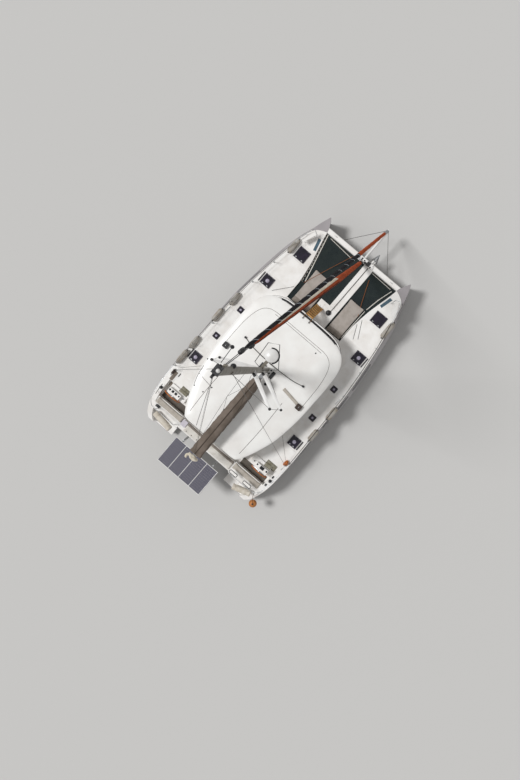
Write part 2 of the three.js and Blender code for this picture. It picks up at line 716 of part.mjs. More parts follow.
function sailBag() {
  const rise = (BOOM_TOP.fore - BOOM_TOP.aft) / (BOOM_FORE - BOOM_AFT);
  const rings = BAG.map(([x, half, top]) => {
    const low = BOOM_TOP.aft + rise * (x - BOOM_AFT) + GAP;
    const port = BAG_SECTION.map(([across, up]) => [x, across * half, low + up * (top - low)]);
    const starboard = port.slice(0, -1).map(([, y, z]) => [x, -y, z]);
    return [...port, ...starboard.reverse()];
  });
  return loft(rings, 0);
}

// Furled headsails on their stays
const DRUM_R = 85;

function furled(foot, head, topZ, [low, wide, narrow], widest) {
  const rows = [
    // radius, share of the way up
    [0, 0], [DRUM_R, 0], [DRUM_R, 0.015], [low, 0.018],
    [wide, widest], [narrow, 0.96], [18, 1], [0, 1],
  ];
  const from = new THREE.Vector3(...head);
  const inside = from.clone().lerp(new THREE.Vector3(...foot), 0.01).toArray();
  return join(turned(rows, foot, head), rod(inside, [TANG_X + 12, 0, topZ], 9, 8));
}

function genoa() {
  return furled([5330, 0, 1642.3], [40, 0, 16140], GENOA_TANG_Z, [80, 125, 50], 0.3);
}

function codeSail() {
  return furled([7060, 0, 1625], [-170, 0, 17230], CODE_TANG_Z, [65, 78, 52], 0.38);
}

// Cap shroud from the chainplate straight to the hounds, well aft of the spreaders
const SCREW_R = 18; // rigging screw at its foot
const SCREW_LENGTH = 420;

function capShroud() {
  const foot = [CHAINPLATE[0], CHAINPLATE[1], SHEER_Z + CHAIN_POST_HEIGHT + 10.5];
  const head = [MAST_X, MAST_HALF[1] + 9, HOUNDS_Z - 2.3];
  const along = new THREE.Vector3(...head).sub(new THREE.Vector3(...foot)).normalize();
  const inside = (distance) => new THREE.Vector3(...foot).addScaledVector(along, distance).toArray();
  return join(
    wire([foot, head], SHROUD_R, 8),
    rod(inside(2), inside(SCREW_LENGTH), SCREW_R, 9),
  );
}

// Guard rail with stanchions, bow rail, stern rail and the fenders lashed to it
const RAIL_HEIGHT = 620;
const STANCHIONS = [-3300, -2050, -800, 450, 1700, 2950, 4150];
const FENDERS = {
  // x of the aft end, x of the front end, y
  port: [[3630, 4420, 2690], [290, 970, 3165], [-750, -30, 3300], [-2300, -1620, 3300], [-3180, -2390, 3310]],
  starboard: [[3400, 4300, 2770], [-800, -80, 3290], [-2000, -1350, 3290]],
};
const FENDER_R = 125;
const TUBE_R = 13; // posts, bow rail and stern rail
const RAIL_Z = SHEER_Z + RAIL_HEIGHT;
const STERN_RAIL = { x: -5300, z: SHEER_Z + 420 };
const ROLL = { z: 1640, radius: 150 }; // cover rolled up and hung on the stern rail
const ROLL_ENDS = {
  // x and y of the inner end, x and y of the outer end
  port: [[-5590, 1660], [-5460, 2640]],
  starboard: [[-5690, 2060], [-5420, 2870]],
};
const BOW_SEAT = [[4360, 2430], [4960, 2200], [5020, 2350], [4460, 2680]];
const BOW_SEAT_Z = [1930, 1960];
const SEAT_LEGS = [[4450, 2460], [4900, 2270]];

const railY = (x) => station(x, COLUMN.edge) - 70;

// Where the upper line runs between two stanchions
function lineY(x) {
  const next = STANCHIONS.findIndex((place) => place >= x);
  const [a, b] = [STANCHIONS[next - 1], STANCHIONS[next]];
  return railY(a) + ((railY(b) - railY(a)) * (x - a)) / (b - a);
}

// The rolled cover and the two straps that carry it
function roll(side) {
  const [inner, outer] = ROLL_ENDS[side > 0 ? "port" : "starboard"];
  const straps = [0.15, 0.8].map((share) => {
    const [x, y] = [0, 1].map((i) => inner[i] + (outer[i] - inner[i]) * share);
    return rod([STERN_RAIL.x, y, STERN_RAIL.z], [x + 20, y, ROLL.z + 60], 12, 6);
  });
  return [rod([...inner, ROLL.z], [...outer, ROLL.z], ROLL.radius, 12), ...straps];
}

// The small seat inside the bow rail
function bowSeat() {
  const [low, high] = BOW_SEAT_Z;
  const legs = SEAT_LEGS.map(([x, y]) => rod([x, y, SHEER_Z + GAP], [x, y, low + 5], TUBE_R, 6));
  const bracket = rod([4700, railY(4700), low + 15], [4700, 2480, low + 15], TUBE_R - 2, 6);
  return [slab(BOW_SEAT, low, high), bracket, ...legs];
}

// A fender lying on the deck and its lashing to the upper line
function fender([aft, fore, y]) {
  const z = SHEER_Z + GAP + FENDER_R;
  const middle = (aft + fore) / 2;
  const closer = (best, x) => (Math.abs(x - middle) < Math.abs(best - middle) ? x : best);
  const end = Math.min(Math.max(STANCHIONS.reduce(closer), aft + 60), fore - 60);
  return [
    rod([aft, y, z], [fore, y, z], FENDER_R, 12),
    rod([end, y, z], [end, lineY(end), RAIL_Z + 4], 7, 6),
  ];
}

function guardRail(side) {
  const line = (z) => STANCHIONS.map((x) => [x, railY(x), z]);
  const bow = [
    [4150, railY(4150), RAIL_Z], [4800, railY(4800) - 20, RAIL_Z],
    [5080, 2380, RAIL_Z - 20], [4980, 2180, RAIL_Z - 60], [4820, 2140, SHEER_Z + GAP],
  ];
  const stern = [
    [-3300, railY(-3300), RAIL_Z], [-4300, railY(-4300) - 30, RAIL_Z],
    [-5000, railY(-5000) - 40, RAIL_Z - 60], [-5270, 2950, STERN_RAIL.z],
    [STERN_RAIL.x, 1640, STERN_RAIL.z], [STERN_RAIL.x, 1640, BENCH.z + GAP],
  ];
  const posts = [...STANCHIONS, 4700].map((x) => (
    rod([x, railY(x), SHEER_Z + GAP], [x, railY(x), RAIL_Z], TUBE_R, 6)));
  const sternPost = rod([-5278, 2700, BENCH.z + GAP], [-5278, 2700, STERN_RAIL.z], TUBE_R, 6);
  const fenders = FENDERS[side > 0 ? "port" : "starboard"].flatMap(fender);
  const rail = join(
    wire(line(RAIL_Z), 6), wire(line(SHEER_Z + RAIL_HEIGHT / 2), 5),
    wire(bow, TUBE_R), wire(stern, TUBE_R),
    ...posts, sternPost, ...roll(side), ...bowSeat(), ...fenders,
  );
  return cut(
    rail,
    box(WELL_FRONT, 6000, 0, 4000, 0, SHEER_Z + GAP),
    box(-6200, WELL_FRONT, 0, 4000, 0, BENCH.z + GAP),
  );
}

// Forward crossbeam, bow roller, longeron, bowsprit and nets
function crossbeam() {
  const [aft, fore] = BEAM_X;
  const [low, high] = BEAM_Z;
  const section = [
    [aft, low + 50], [aft + 50, low], [fore - 50, low], [fore, low + 50],
    [fore, high - 60], [fore - 30, high], [aft + 30, high], [aft, high - 60],
  ];
  const tube = profile(section, -2200, 2200);
  const fitting = box(aft - 100, aft + 50, -45, 45, 1440, 1620);
  const roller = box(fore - 10, fore + 150, -470, -330, 1370, 1400);
  const hulls = [1, -1].map((side) => onSide(moved(HULL_FORM, 0, -GAP, 0), side));
  return join(cut(tube, ...hulls), fitting, roller);
}

function longeron() {
  const beam = box(NOSE_X + GAP, BEAM_X[0] - GAP, ...LONGERON_Y, 1400, 1490);
  return cut(beam, box(NOSE_X, BEAM_X[0] + 1, -410, -370, 1450, 1500));
}

function bowsprit() {
  const root = BEAM_X[1] + GAP;
  const whole = rod([root - 60, 0, 1405], [7130, 0, 1500], 55, 12);
  const pole = common(whole, box(root, 7200, -100, 100, 1200, 1700));
  return join(pole, box(6980, 7150, -35, 35, 1480, 1589));
}

function anchor() {
  const shank = box(BEAM_X[1] + GAP + 1, 5960, -412, -388, 1400 + GAP, 1450);
  const fluke = loft([
    [[5760, -560, 1190], [5760, -400, 1120], [5760, -240, 1190], [5760, -400, 1150]],
    [[6120, -412, 1420], [6120, -400, 1405], [6120, -388, 1420], [6120, -400, 1440]],
  ], 0);
  const link = box(5900, 5960, -410, -390, 1260, 1440);
  return join(shank, fluke, link);
}

// The longeron lies to starboard, so the port net goes round the platform's port edge
function net(side) {
  const fore = BEAM_X[0] - GAP;
  const aft = FRONT_WALL_X + GAP;
  const beside = (y) => side * y + GAP;
  const inner = side > 0 ? [
    [fore, beside(LONGERON_Y[1])], [NOSE_X + GAP, beside(LONGERON_Y[1])],
    [NOSE_X + GAP, beside(NOSE_Y[1])], [aft, beside(NOSE_Y[1])],
  ] : [[fore, beside(LONGERON_Y[0])], [aft, beside(NOSE_Y[0])]];
  const rows = ROWS.filter(([x]) => x > FRONT_WALL_X && x < BEAM_X[0]);
  const outer = rows.map((row) => [row[COLUMN.x], row[COLUMN.top] - GAP]);
  const last = [fore, station(BEAM_X[0], COLUMN.top) - GAP];
  return slab([...inner, [aft, HALF_TUNNEL - GAP], ...outer, last], ...NET_Z);
}

// Soft goods as plain closed solids
function cushion(x0, x1, y0, y1, z0, z1) {
  const soft = Math.min(40, (z1 - z0) * 0.4);
  const ring = (z, shrink) => [[x0 + shrink, y0 + shrink, z], [x1 - shrink, y0 + shrink, z],
    [x1 - shrink, y1 - shrink, z], [x0 + shrink, y1 - shrink, z]];
  return loft([ring(z0, soft * 0.5), ring(z0 + soft, 0), ring(z1 - soft, 0), ring(z1, soft)], 2);
}

const SUN_PADS = {
  // aft x, front x, inner y, outer y
  port: [2200, 3880, 370, 1285],
  starboard: [2200, 3880, 690, 1425],
};

function sunPad(side) {
  return cushion(...SUN_PADS[side > 0 ? "port" : "starboard"], NET_Z[1] + GAP, 1530);
}

// Steps that lean from the foredeck to the front edge of the roof
const LADDER = { y0: -60, y1: 305, foot: [2760, SHEER_Z], head: [2090, 2960], treads: 7 };

function ladder() {
  const [x0, z0] = LADDER.foot;
  const [x1, z1] = LADDER.head;
  const side = [[x0 - 30, z0 + GAP], [x0 + 30, z0 + GAP], [x1 + 20, z1], [x1 - 20, z1]];
  const rails = [[LADDER.y0, LADDER.y0 + 30], [LADDER.y1 - 30, LADDER.y1]];
  const treads = Array.from({ length: LADDER.treads }, (_, i) => {
    const t = (i + 0.6) / LADDER.treads;
    const x = x0 + (x1 - x0) * t;
    const z = z0 + (z1 - z0) * t;
    return box(x - 55, x + 45, LADDER.y0 + 10, LADDER.y1 - 10, z - 14, z + 14);
  });
  const hooks = rails.map(([y0, y1]) => box(1930, x1 + 5, y0, y1, 2935, 2960));
  return join(...rails.map(([y0, y1]) => profile(side, y0, y1)), ...treads, ...hooks);
}

// Something round that stands on a deck, from rows of radius and height
function standing(rows, x, y) {
  const body = bare(new THREE.LatheGeometry(rows.map(([r, z]) => new THREE.Vector2(r, z)), 20));
  return body.rotateX(Math.PI / 2).translate(x, y, SHEER_Z + GAP);
}

function windlass() {
  return standing([[0, 0], [120, 0], [120, 40], [95, 95], [50, 120], [0, 125]], 2790, -330);
}

// Sheet winch on the rail cap beside the helm
function winch() {
  const rows = [[0, 0], [72, 0], [72, 35], [50, 60], [44, 100], [62, 130], [62, 150], [40, 165], [0, 165]];
  return standing(rows, -4450, 3170);
}

// Steering: wheels, rudders, saildrives and propellers
function steeringWheel() {
  const rim = bare(new THREE.TorusGeometry(WHEEL.rim, 17, 8, 28));
  const spokes = Array.from({ length: 5 }, (_, i) => {
    const angle = (2 * Math.PI * i) / 5;
    return rod([0, 0, 0], [WHEEL.rim * Math.cos(angle), WHEEL.rim * Math.sin(angle), 0], 9, 6);
  });
  const hub = rod([0, 0, -25], [0, 0, 60 - GAP], 38, 12);
  return join(rim, ...spokes, hub).rotateY(Math.PI / 2).translate(WHEEL.x, WHEEL.y, WHEEL.z);
}

function rudder() {
  const ring = (z, fore, aft, half) => [
    [fore, RUDDER_Y, z],
    [fore - 60, RUDDER_Y + half, z], [fore - 170, RUDDER_Y + half, z], [aft, RUDDER_Y + 4, z],
    [aft, RUDDER_Y - 4, z], [fore - 170, RUDDER_Y - half, z], [fore - 60, RUDDER_Y - half, z],
  ];
  const blade = loft([
    ring(-1080, RUDDER_X + 120, RUDDER_X - 250, 26),
    ring(-255, RUDDER_X + 165, RUDDER_X - 320, 38),
  ], 2);
  const stock = rod([RUDDER_X, RUDDER_Y, -400], [RUDDER_X, RUDDER_Y, STOCK_TOP_Z - GAP], STOCK_R, 24);
  return join(blade, stock);
}

function saildrive() {
  const { x, y, propZ, propX } = DRIVE;
  const ring = (z, fore, aft, half) => [
    [fore, y, z], [fore - 60, y + half, z], [aft + 90, y + half * 0.8, z], [aft, y, z],
    [aft + 90, y - half * 0.8, z], [fore - 60, y - half, z]];
  const leg = loft([ring(propZ - 90, x + 90, x - 150, 40), ring(-200, x + 160, x - 200, 75)], 2);
  const bulb = rod([x + 190, y, propZ], [propX + 60 + GAP, y, propZ], 30, 12, 62);
  return cut(join(leg, bulb), moved(HULL_FORM, 0, 0, -GAP));
}

function propeller() {
  const { y, propZ, propX } = DRIVE;
  const hub = rod([propX + 60, y, propZ], [propX - 70, y, propZ], 60, 12, 28);
  const blades = Array.from({ length: 3 }, (_, i) => {
    const angle = (2 * Math.PI * i) / 3;
    const blade = loft([
      [[-25, -18, 30], [25, 18, 30], [29, 12, 30], [-21, -24, 30]],
      [[-32, -70, 130], [32, 70, 130], [36, 64, 130], [-28, -76, 130]],
      [[-14, -40, 212], [14, 40, 212], [18, 36, 212], [-10, -44, 212]],
    ], 2);
    return blade.rotateX(angle).translate(propX, y, propZ);
  });
  return join(hub, ...blades);
}

// Cockpit and saloon fittings
function cockpitTable() {
  return join(
    box(-3650, -2950, -520, 520, 1740, 1775),
    rod([-3300, 0, FLOOR_Z + GAP], [-3300, 0, 1750], 50, 12),
    box(-3480, -3120, -180, 180, FLOOR_Z + GAP, FLOOR_Z + 20),
  );
}

function saloonFurniture() {
  return join(
    box(1250, 1900, -1350, 1400, FLOOR_Z + GAP, 1480),
    box(-600, 1300, 900, 1400, FLOOR_Z + GAP, 1480),
    box(-600, 1300, 1400 - 90, 1400, 1400, 1800),
    box(1820, 1900, -1350, 1400, 1400, 1800),
    box(-1900, 600, -1400, -850, FLOOR_Z + GAP, 1920),
    box(550, 1260, -1350, -850, FLOOR_Z + GAP, 1480),
    box(-50, 900, -250, 700, 1740, 1775),
    box(350, 500, 150, 300, FLOOR_Z + GAP, 1750),
    box(300, 1300, 150, 300, FLOOR_Z + GAP, FLOOR_Z + 30),
  );
}

const DAVITS_Y = [850, -850];

function davits() {
  const side = [
    [-5330 - GAP, 900], [-5330 - GAP, 1400], [-5480, 1900],
    [-6820, 1900], [-6820, 1840], [-5620, 1800], [-5430, 900],
  ];
  const arms = DAVITS_Y.map((y) => profile(side, y - 30, y + 30));
  const beams = [-5700, -6300, -6780].map((x) => box(x - 25, x + 25, -1150, 1150, 1880, SOLAR.z - GAP));
  return join(...arms, ...beams);
}

addPair("hull", () => PORT_HULL, "topsides");
addPair("keel", keel, "antifouling");
add("bridgedeck", bridgedeck(), "gelcoat");
addPair("side_deck", sideDeck, "gelcoat");
addPair("quarter", quarter, "gelcoat");
add("cabin_walls", cabinWalls(), "gelcoat");
add("cabin_glazing", cabinGlazing(), "glass");
add("aft_bulkhead", aftBulkhead(), "gelcoat");
add("saloon_door", saloonDoor(), "glass");
add("roof", roof(), "gelcoat");
add("mast", mast(), "alloy");
add("boom", boom(), "alloy");
add("sail_bag", sailBag(), "canvas");
add("genoa_furled", genoa(), "strip");
add("code_sail_furled", codeSail(), "black");
addPair("cap_shroud", capShroud, "steel");
add("crossbeam", crossbeam(), "gelcoat");
add("longeron", longeron(), "gelcoat");
add("bowsprit", bowsprit(), "alloy");
add("anchor", anchor(), "steel");
addPair("net", net, "net");
addPair("sun_pad", sunPad, "pad");
add("windlass", windlass(), "black");
add("roof_ladder", ladder(), "teak");
addPair("guard_rail", guardRail, "steel");
addPair("winch", winch, "black");
addPair("steering_wheel", steeringWheel, "leather");
addPair("helm_seat", () => cushion(-5110, -4815, 1515, 2955, 1450 + GAP, 1540), "pad");
add("aft_bench_cushion", cushion(-5290, -4850, -1450, 1200, 1430 + GAP, 1520), "pad");
add("cockpit_table", cockpitTable(), "gelcoat");
add("saloon_furniture", saloonFurniture(), "teak");
addPair("rudder", rudder, "antifouling");
addPair("saildrive", saildrive, "engine");
addPair("propeller", propeller, "bronze");
addPair("engine", () => box(-4930, -4220, 2220, 2680, -40 + GAP, 560), "engine");
add("davits", davits(), "alloy");
add("solar_panels", box(SOLAR.aft, SOLAR.fore, -SOLAR.half, SOLAR.half, SOLAR.z, SOLAR.z + 40), "solar");
for (const [name, fore, aft, inner, outer] of HATCHES) {
  addPair(name, () => hatchLid(fore, aft, inner, outer), "glass");
}

export default boat;
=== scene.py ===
# Sailing catamaran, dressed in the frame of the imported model.
# Metres, with X to the bow, Y to port and Z up. The floor is at the waterline.
import math

import bmesh
import bpy
from mathutils import Matrix, Vector, noise
from mathutils.bvhtree import BVHTree


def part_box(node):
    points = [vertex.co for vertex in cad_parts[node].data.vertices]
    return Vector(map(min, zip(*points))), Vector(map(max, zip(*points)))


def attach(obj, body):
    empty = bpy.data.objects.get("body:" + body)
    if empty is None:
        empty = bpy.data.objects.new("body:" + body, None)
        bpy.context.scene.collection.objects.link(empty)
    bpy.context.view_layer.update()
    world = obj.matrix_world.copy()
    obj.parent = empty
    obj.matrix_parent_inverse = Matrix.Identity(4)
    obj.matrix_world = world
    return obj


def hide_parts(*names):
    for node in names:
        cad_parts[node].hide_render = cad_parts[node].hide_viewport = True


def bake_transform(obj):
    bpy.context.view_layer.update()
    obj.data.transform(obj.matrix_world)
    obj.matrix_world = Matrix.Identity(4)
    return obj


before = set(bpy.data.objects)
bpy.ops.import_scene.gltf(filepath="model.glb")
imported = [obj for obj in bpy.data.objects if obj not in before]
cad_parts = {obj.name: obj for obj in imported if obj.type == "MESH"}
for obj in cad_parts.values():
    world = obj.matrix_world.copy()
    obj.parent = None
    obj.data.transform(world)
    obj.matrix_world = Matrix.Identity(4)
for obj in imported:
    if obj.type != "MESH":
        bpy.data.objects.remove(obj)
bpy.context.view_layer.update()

# Main places, the same as in the model's source
CLEAR = 0.0004  # room between a solid's face and a piece laid on it
DECK = 1.5
ON_DECK = DECK + CLEAR
NET_TOP = 1.44
HOUNDS = 16.2
BEAM = (5.37, 5.62)  # x of the crossbeam's aft and front face
BEAM_TOP = 1.5
NOSE_X = 3.08
NOSE_Y = (-0.63, 0.31)
FRONT_WALL_X = 2.18
GOOSENECK = (-0.95, 3.41)
SIDES = ((1, "port"), (-1, "starboard"))

HULL_ROWS = [
    # x, inner side, deck edge
    (-5.99, 1.56, 2.84), (-5.76, 1.52, 3.04), (-5.3, 1.5, 3.195), (-4.76, 1.5, 3.315),
    (-4.2, 1.5, 3.36), (-3.2, 1.5, 3.385), (-1.6, 1.5, 3.345), (0.0, 1.5, 3.29),
    (1.0, 1.5, 3.22), (2.0, 1.5, 3.11), (3.0, 1.5, 2.97), (3.87, 1.62, 2.82),
    (4.5, 1.76, 2.68), (5.03, 1.89, 2.56), (5.55, 1.995, 2.43), (5.99, 2.235, 2.264),
]


def inner_side(x):
    return at(HULL_ROWS, x, 1)


def deck_edge(x):
    return at(HULL_ROWS, x, 2)


# Materials
def rgb(code):
    """A screen colour of six hex digits as linear light."""
    parts = [int(code[i:i + 2], 16) / 255 for i in (0, 2, 4)]
    light = [c / 12.92 if c <= 0.04045 else ((c + 0.055) / 1.055) ** 2.4 for c in parts]
    return (*light, 1.0)


class Paint:
    """A Principled material with patterns laid over the piece in metres."""

    def __init__(self, name, colour, roughness=0.5, metallic=0.0, coat=0.0):
        self.material = bpy.data.materials.new(name)
        self.material.use_nodes = True
        self.tree = self.material.node_tree
        self.shader = self.tree.nodes["Principled BSDF"]
        self.place = self.node("ShaderNodeTexCoord").outputs["Object"]
        self.base = rgb(colour)
        self.normal = None
        self.feed(self.shader.inputs["Base Color"], self.base)
        self.feed(self.shader.inputs["Roughness"], roughness)
        self.feed(self.shader.inputs["Metallic"], metallic)
        self.feed(self.shader.inputs["Coat Weight"], coat)
        self.feed(self.shader.inputs["Coat Roughness"], 0.12)

    def feed(self, socket, value):
        if isinstance(value, bpy.types.NodeSocket):
            self.tree.links.new(value, socket)
        else:
            socket.default_value = value

    def node(self, kind, inputs=None, **settings):
        made = self.tree.nodes.new(kind)
        for key, value in settings.items():
            setattr(made, key, value)
        for key, value in (inputs or {}).items():
            self.feed(made.inputs[key], value)
        return made

    def noise(self, size, detail=3.0, stretch=(1, 1, 1)):
        """Soft random patches of about one size in metres."""
        place = self.node("ShaderNodeMapping", {"Vector": self.place, "Scale": stretch}).outputs[0]
        inputs = {"Vector": place, "Scale": 1 / size, "Detail": detail}
        return self.node("ShaderNodeTexNoise", inputs).outputs[0]

    def bands(self, pitch, axis):
        """Even waves along one axis. Blender's wave at scale 1 is 0.314 long."""
        inputs = {"Vector": self.place, "Scale": 0.314 / pitch}
        return self.node("ShaderNodeTexWave", inputs, bands_direction=axis).outputs["Fac"]

    def cells(self, size, feature="F1"):
        inputs = {"Vector": self.place, "Scale": 1 / size}
        return self.node("ShaderNodeTexVoronoi", inputs, feature=feature).outputs["Distance"]

    def along(self, axis):
        return self.node("ShaderNodeSeparateXYZ", {"Vector": self.place}).outputs[axis]

    def between(self, value, low, high, start=0.0, end=1.0):
        """Grows from start to end while the value goes from low to high."""
        inputs = {"Value": value, "From Min": low, "From Max": high, "To Min": start, "To Max": end}
        return self.node("ShaderNodeMapRange", inputs).outputs[0]

    def calc(self, operation, a, b=0.0):
        return self.node("ShaderNodeMath", {0: a, 1: b}, operation=operation).outputs[0]

    def tint(self, mask, colour):
        """Lays a colour over the base where the mask is 1."""
        inputs = {0: mask, 6: self.base, 7: rgb(colour)}
        self.base = self.node("ShaderNodeMix", inputs, data_type="RGBA").outputs[2]
        self.feed(self.shader.inputs["Base Color"], self.base)

    def dull(self, mask, low, high):
        self.feed(self.shader.inputs["Roughness"], self.between(mask, 0.3, 0.7, low, high))

    def raise_by(self, height, metres):
        inputs = {"Height": height, "Distance": metres}
        if self.normal:
            inputs["Normal"] = self.normal
        self.normal = self.node("ShaderNodeBump", inputs).outputs[0]
        self.feed(self.shader.inputs["Normal"], self.normal)

    # Grains
    def speckle(self, pitch, depth):
        self.raise_by(self.noise(pitch, 4.0), depth)

    def pebble(self, pitch, depth):
        self.raise_by(self.cells(pitch, "SMOOTH_F1"), depth)

    def weave(self, pitch, depth):
        across = self.calc("MULTIPLY", self.bands(pitch, "X"), self.bands(pitch, "Y"))
        self.raise_by(self.calc("ADD", across, self.bands(pitch, "Z")), depth)

    def brushed(self, pitch, depth):
        self.raise_by(self.noise(pitch, 2.0, (0.03, 1, 1)), depth)

    def wood(self, pitch, depth):
        rings = self.noise(pitch * 6, 4.0, (1, 0.08, 1))
        lines = self.noise(pitch, 3.0, (1, 0.04, 1))
        self.tint(self.between(rings, 0.45, 0.75), "92683a")
        self.raise_by(lines, depth)

    def mesh(self, pitch, depth):
        grid = self.calc("MAXIMUM", self.bands(pitch, "X"), self.bands(pitch, "Y"))
        self.tint(self.between(grid, 0.85, 0.98), "343b39")
        self.raise_by(grid, depth)


FINISHES = [
    # name, slot, colour, patch colour, patch size, roughness, grain, pitch, depth,
    # and where they aren't 0 the coat and the metallic share
    ("gelcoat", "gelcoat_white", "f0eeeb", "e4e0db", 0.7, 0.3, "speckle", 0.006, 0.0001, 0.3),
    ("non_slip", "gelcoat_white", "f2f0ed", "e5e1dc", 0.5, 0.7, "pebble", 0.006, 0.0008),
    ("roof_gelcoat", "gelcoat_white", "f1f0ed", "e7e4e0", 0.9, 0.32, "speckle", 0.006, 0.0001, 0.3),
    ("well_floor", "gelcoat_white", "68625b", "554f48", 0.3, 0.8, "pebble", 0.006, 0.0008),
    ("glass", "tinted_glass", "1d1b24", "2b2833", 0.5, 0.08, "speckle", 0.3, 0.0002, 0.5),
    ("acrylic", "hatch_acrylic", "130f1e", "241a30", 0.2, 0.2, "speckle", 0.1, 0.0002, 0.1),
    ("net", "net_mesh", "20272a", "2b3231", 0.4, 0.9, "mesh", 0.025, 0.003),
    ("pad", "pad_fabric", "aca49d", "9b938b", 0.25, 0.92, "weave", 0.004, 0.0006),
    # painted shade: the darker strip of a pad where it tips out of the light
    ("pad_dark", "pad_fabric", "8b837b", "7b736b", 0.25, 0.92, "weave", 0.004, 0.0006),
    ("pad_warm", "pad_fabric", "b9b2a8", "a79f95", 0.2, 0.92, "weave", 0.004, 0.0006),
    ("pad_white", "pad_fabric", "dedad3", "cbc6bd", 0.2, 0.92, "weave", 0.004, 0.0006),
    ("roll", "pad_fabric", "d3ccc0", "c2b9aa", 0.15, 0.9, "weave", 0.005, 0.0008),
    ("canvas", "sail_canvas", "776c63", "62584f", 0.4, 0.92, "weave", 0.004, 0.0008),
    ("canvas_edge", "sail_canvas", "4d443d", "3f3731", 0.3, 0.92, "weave", 0.004, 0.0008),
    ("sailcloth", "sail_canvas", "d8d0c0", "c2b7a2", 0.3, 0.7, "weave", 0.006, 0.0003),
    ("strip", "uv_strip", "b4522a", "963f1e", 0.35, 0.85, "weave", 0.005, 0.0006),
    ("black_sail", "black_sail", "1b1a1e", "27252a", 0.3, 0.7, "weave", 0.006, 0.0003),
    ("alloy", "spar_alloy", "a9abad", "989a9c", 0.4, 0.42, "brushed", 0.004, 0.0001, 0.0, 0.7),
    ("white_alloy", "spar_alloy", "e3e2e0", "d2d0cd", 0.4, 0.35, "speckle", 0.01, 0.0001, 0.3),
    ("stainless", "stainless", "cfd1d3", "b9bcbe", 0.3, 0.38, "brushed", 0.003, 0.0001, 0.0, 1.0),
    ("bronze", "bronze", "b08d4a", "7a6a3c", 0.08, 0.35, "speckle", 0.01, 0.0004, 0.0, 1.0),
    ("leather", "wheel_leather", "bf6f36", "9c5426", 0.06, 0.6, "pebble", 0.003, 0.0004),
    ("solar", "solar_cells", "5e5c68", "4c4a58", 0.05, 0.25, "speckle", 0.02, 0.0001, 0.4),
    ("teak", "teak", "c69a60", "a9804a", 0.12, 0.7, "wood", 0.006, 0.0006),
    ("antifouling", "antifouling", "3a4048", "4a4f50", 0.3, 0.85, "speckle", 0.01, 0.0012),
    ("drive", "drive_paint", "4a5b63", "3b4a51", 0.2, 0.5, "speckle", 0.02, 0.0003, 0.0, 0.2),
    ("black_plastic", "windlass_black", "17171a", "232327", 0.1, 0.5, "speckle", 0.003, 0.0002),
    ("white_rope", "pad_fabric", "dad7d0", "b9b4a8", 0.03, 0.9, "weave", 0.008, 0.001),
    ("dark_rope", "net_mesh", "35322f", "4a443d", 0.03, 0.9, "weave", 0.008, 0.001),
    ("brown_rope", "uv_strip", "a2602f", "7d4521", 0.03, 0.9, "weave", 0.008, 0.001),
    ("fender", "pad_fabric", "a8a49d", "968b7d", 0.2, 0.6, "speckle", 0.01, 0.0003),
    # dark joint lines, and painted shade along the roof's grooves
    ("seam", "gelcoat_white", "6f6963", "645e58", 0.2, 0.8, "speckle", 0.004, 0.0001),
    ("wire", "stainless", "4a4643", "3a3633", 0.3, 0.4, "brushed", 0.003, 0.0001, 0.0, 0.7),
    ("vent", "hatch_acrylic", "a9a3b4", "8d8799", 0.05, 0.4, "speckle", 0.004, 0.0001),
    ("hatch_frame", "hatch_acrylic", "2c2433", "211a27", 0.1, 0.4, "speckle", 0.004, 0.0001, 0.0, 0.2),
    # painted shadow: the blue-gray of the bow seat's shadow on the deck
    ("bow_glass", "tinted_glass", "405866", "4c6675", 0.2, 0.15, "speckle", 0.1, 0.0002, 0.4),
    ("screen", "windlass_black", "101014", "1c1c24", 0.1, 0.1, "speckle", 0.02, 0.0001, 0.5),
    ("brown", "windlass_black", "3b2b24", "2b1f1a", 0.08, 0.6, "weave", 0.004, 0.0003),
    ("mast_gray", "spar_alloy", "6f695f", "5f5a51", 0.6, 0.45, "brushed", 0.004, 0.0001, 0.0, 0.4),
    # painted shade: the sun strip on the genoa roll's side away from the sun
    ("strip_dark", "uv_strip", "6e2a14", "55200f", 0.35, 0.85, "weave", 0.005, 0.0006),
    # painted highlight: the wrap's edges on the code sail roll where they catch the sun
    ("pale_edge", "sail_canvas", "b4bac0", "989ea6", 0.2, 0.7, "weave", 0.006, 0.0003),
    ("ball", "uv_strip", "b8773f", "96602c", 0.12, 0.5, "speckle", 0.01, 0.0003),
    # painted shade: the taupe of the port walkway where the rail cap's shadow falls
    ("mat", "pad_fabric", "82786e", "70675e", 0.15, 0.95, "weave", 0.006, 0.0008),
    # painted shadow: the gray-green tone of the shadows cast ahead of the wheels and consoles
    ("olive", "pad_fabric", "8b8779", "77735f", 0.12, 0.92, "weave", 0.005, 0.0008),
    ("lilac", "gelcoat_white", "c9c4cc", "bcb6c0", 0.2, 0.5, "speckle", 0.006, 0.0002, 0.1),
]


def finish(name, slot, colour, patch, size, roughness, grain, pitch, depth, coat=0.0, metallic=0.0):
    """A paint with patches of a second colour, uneven gloss and a grain."""
    paint = Paint(name, colour, roughness, metallic, coat)
    patches = paint.noise(size)
    paint.tint(paint.between(patches, 0.42, 0.72), patch)
    paint.dull(paint.noise(size / 3), roughness * 0.85, min(roughness * 1.25, 1.0))
    paint.feed(paint.shader.inputs["Specular IOR Level"], 0.15 if roughness > 0.65 else 0.5)
    getattr(paint, grain)(pitch, depth)
    paint.slot = slot
    return paint


PAINTS = {row[0]: finish(*row) for row in FINISHES}


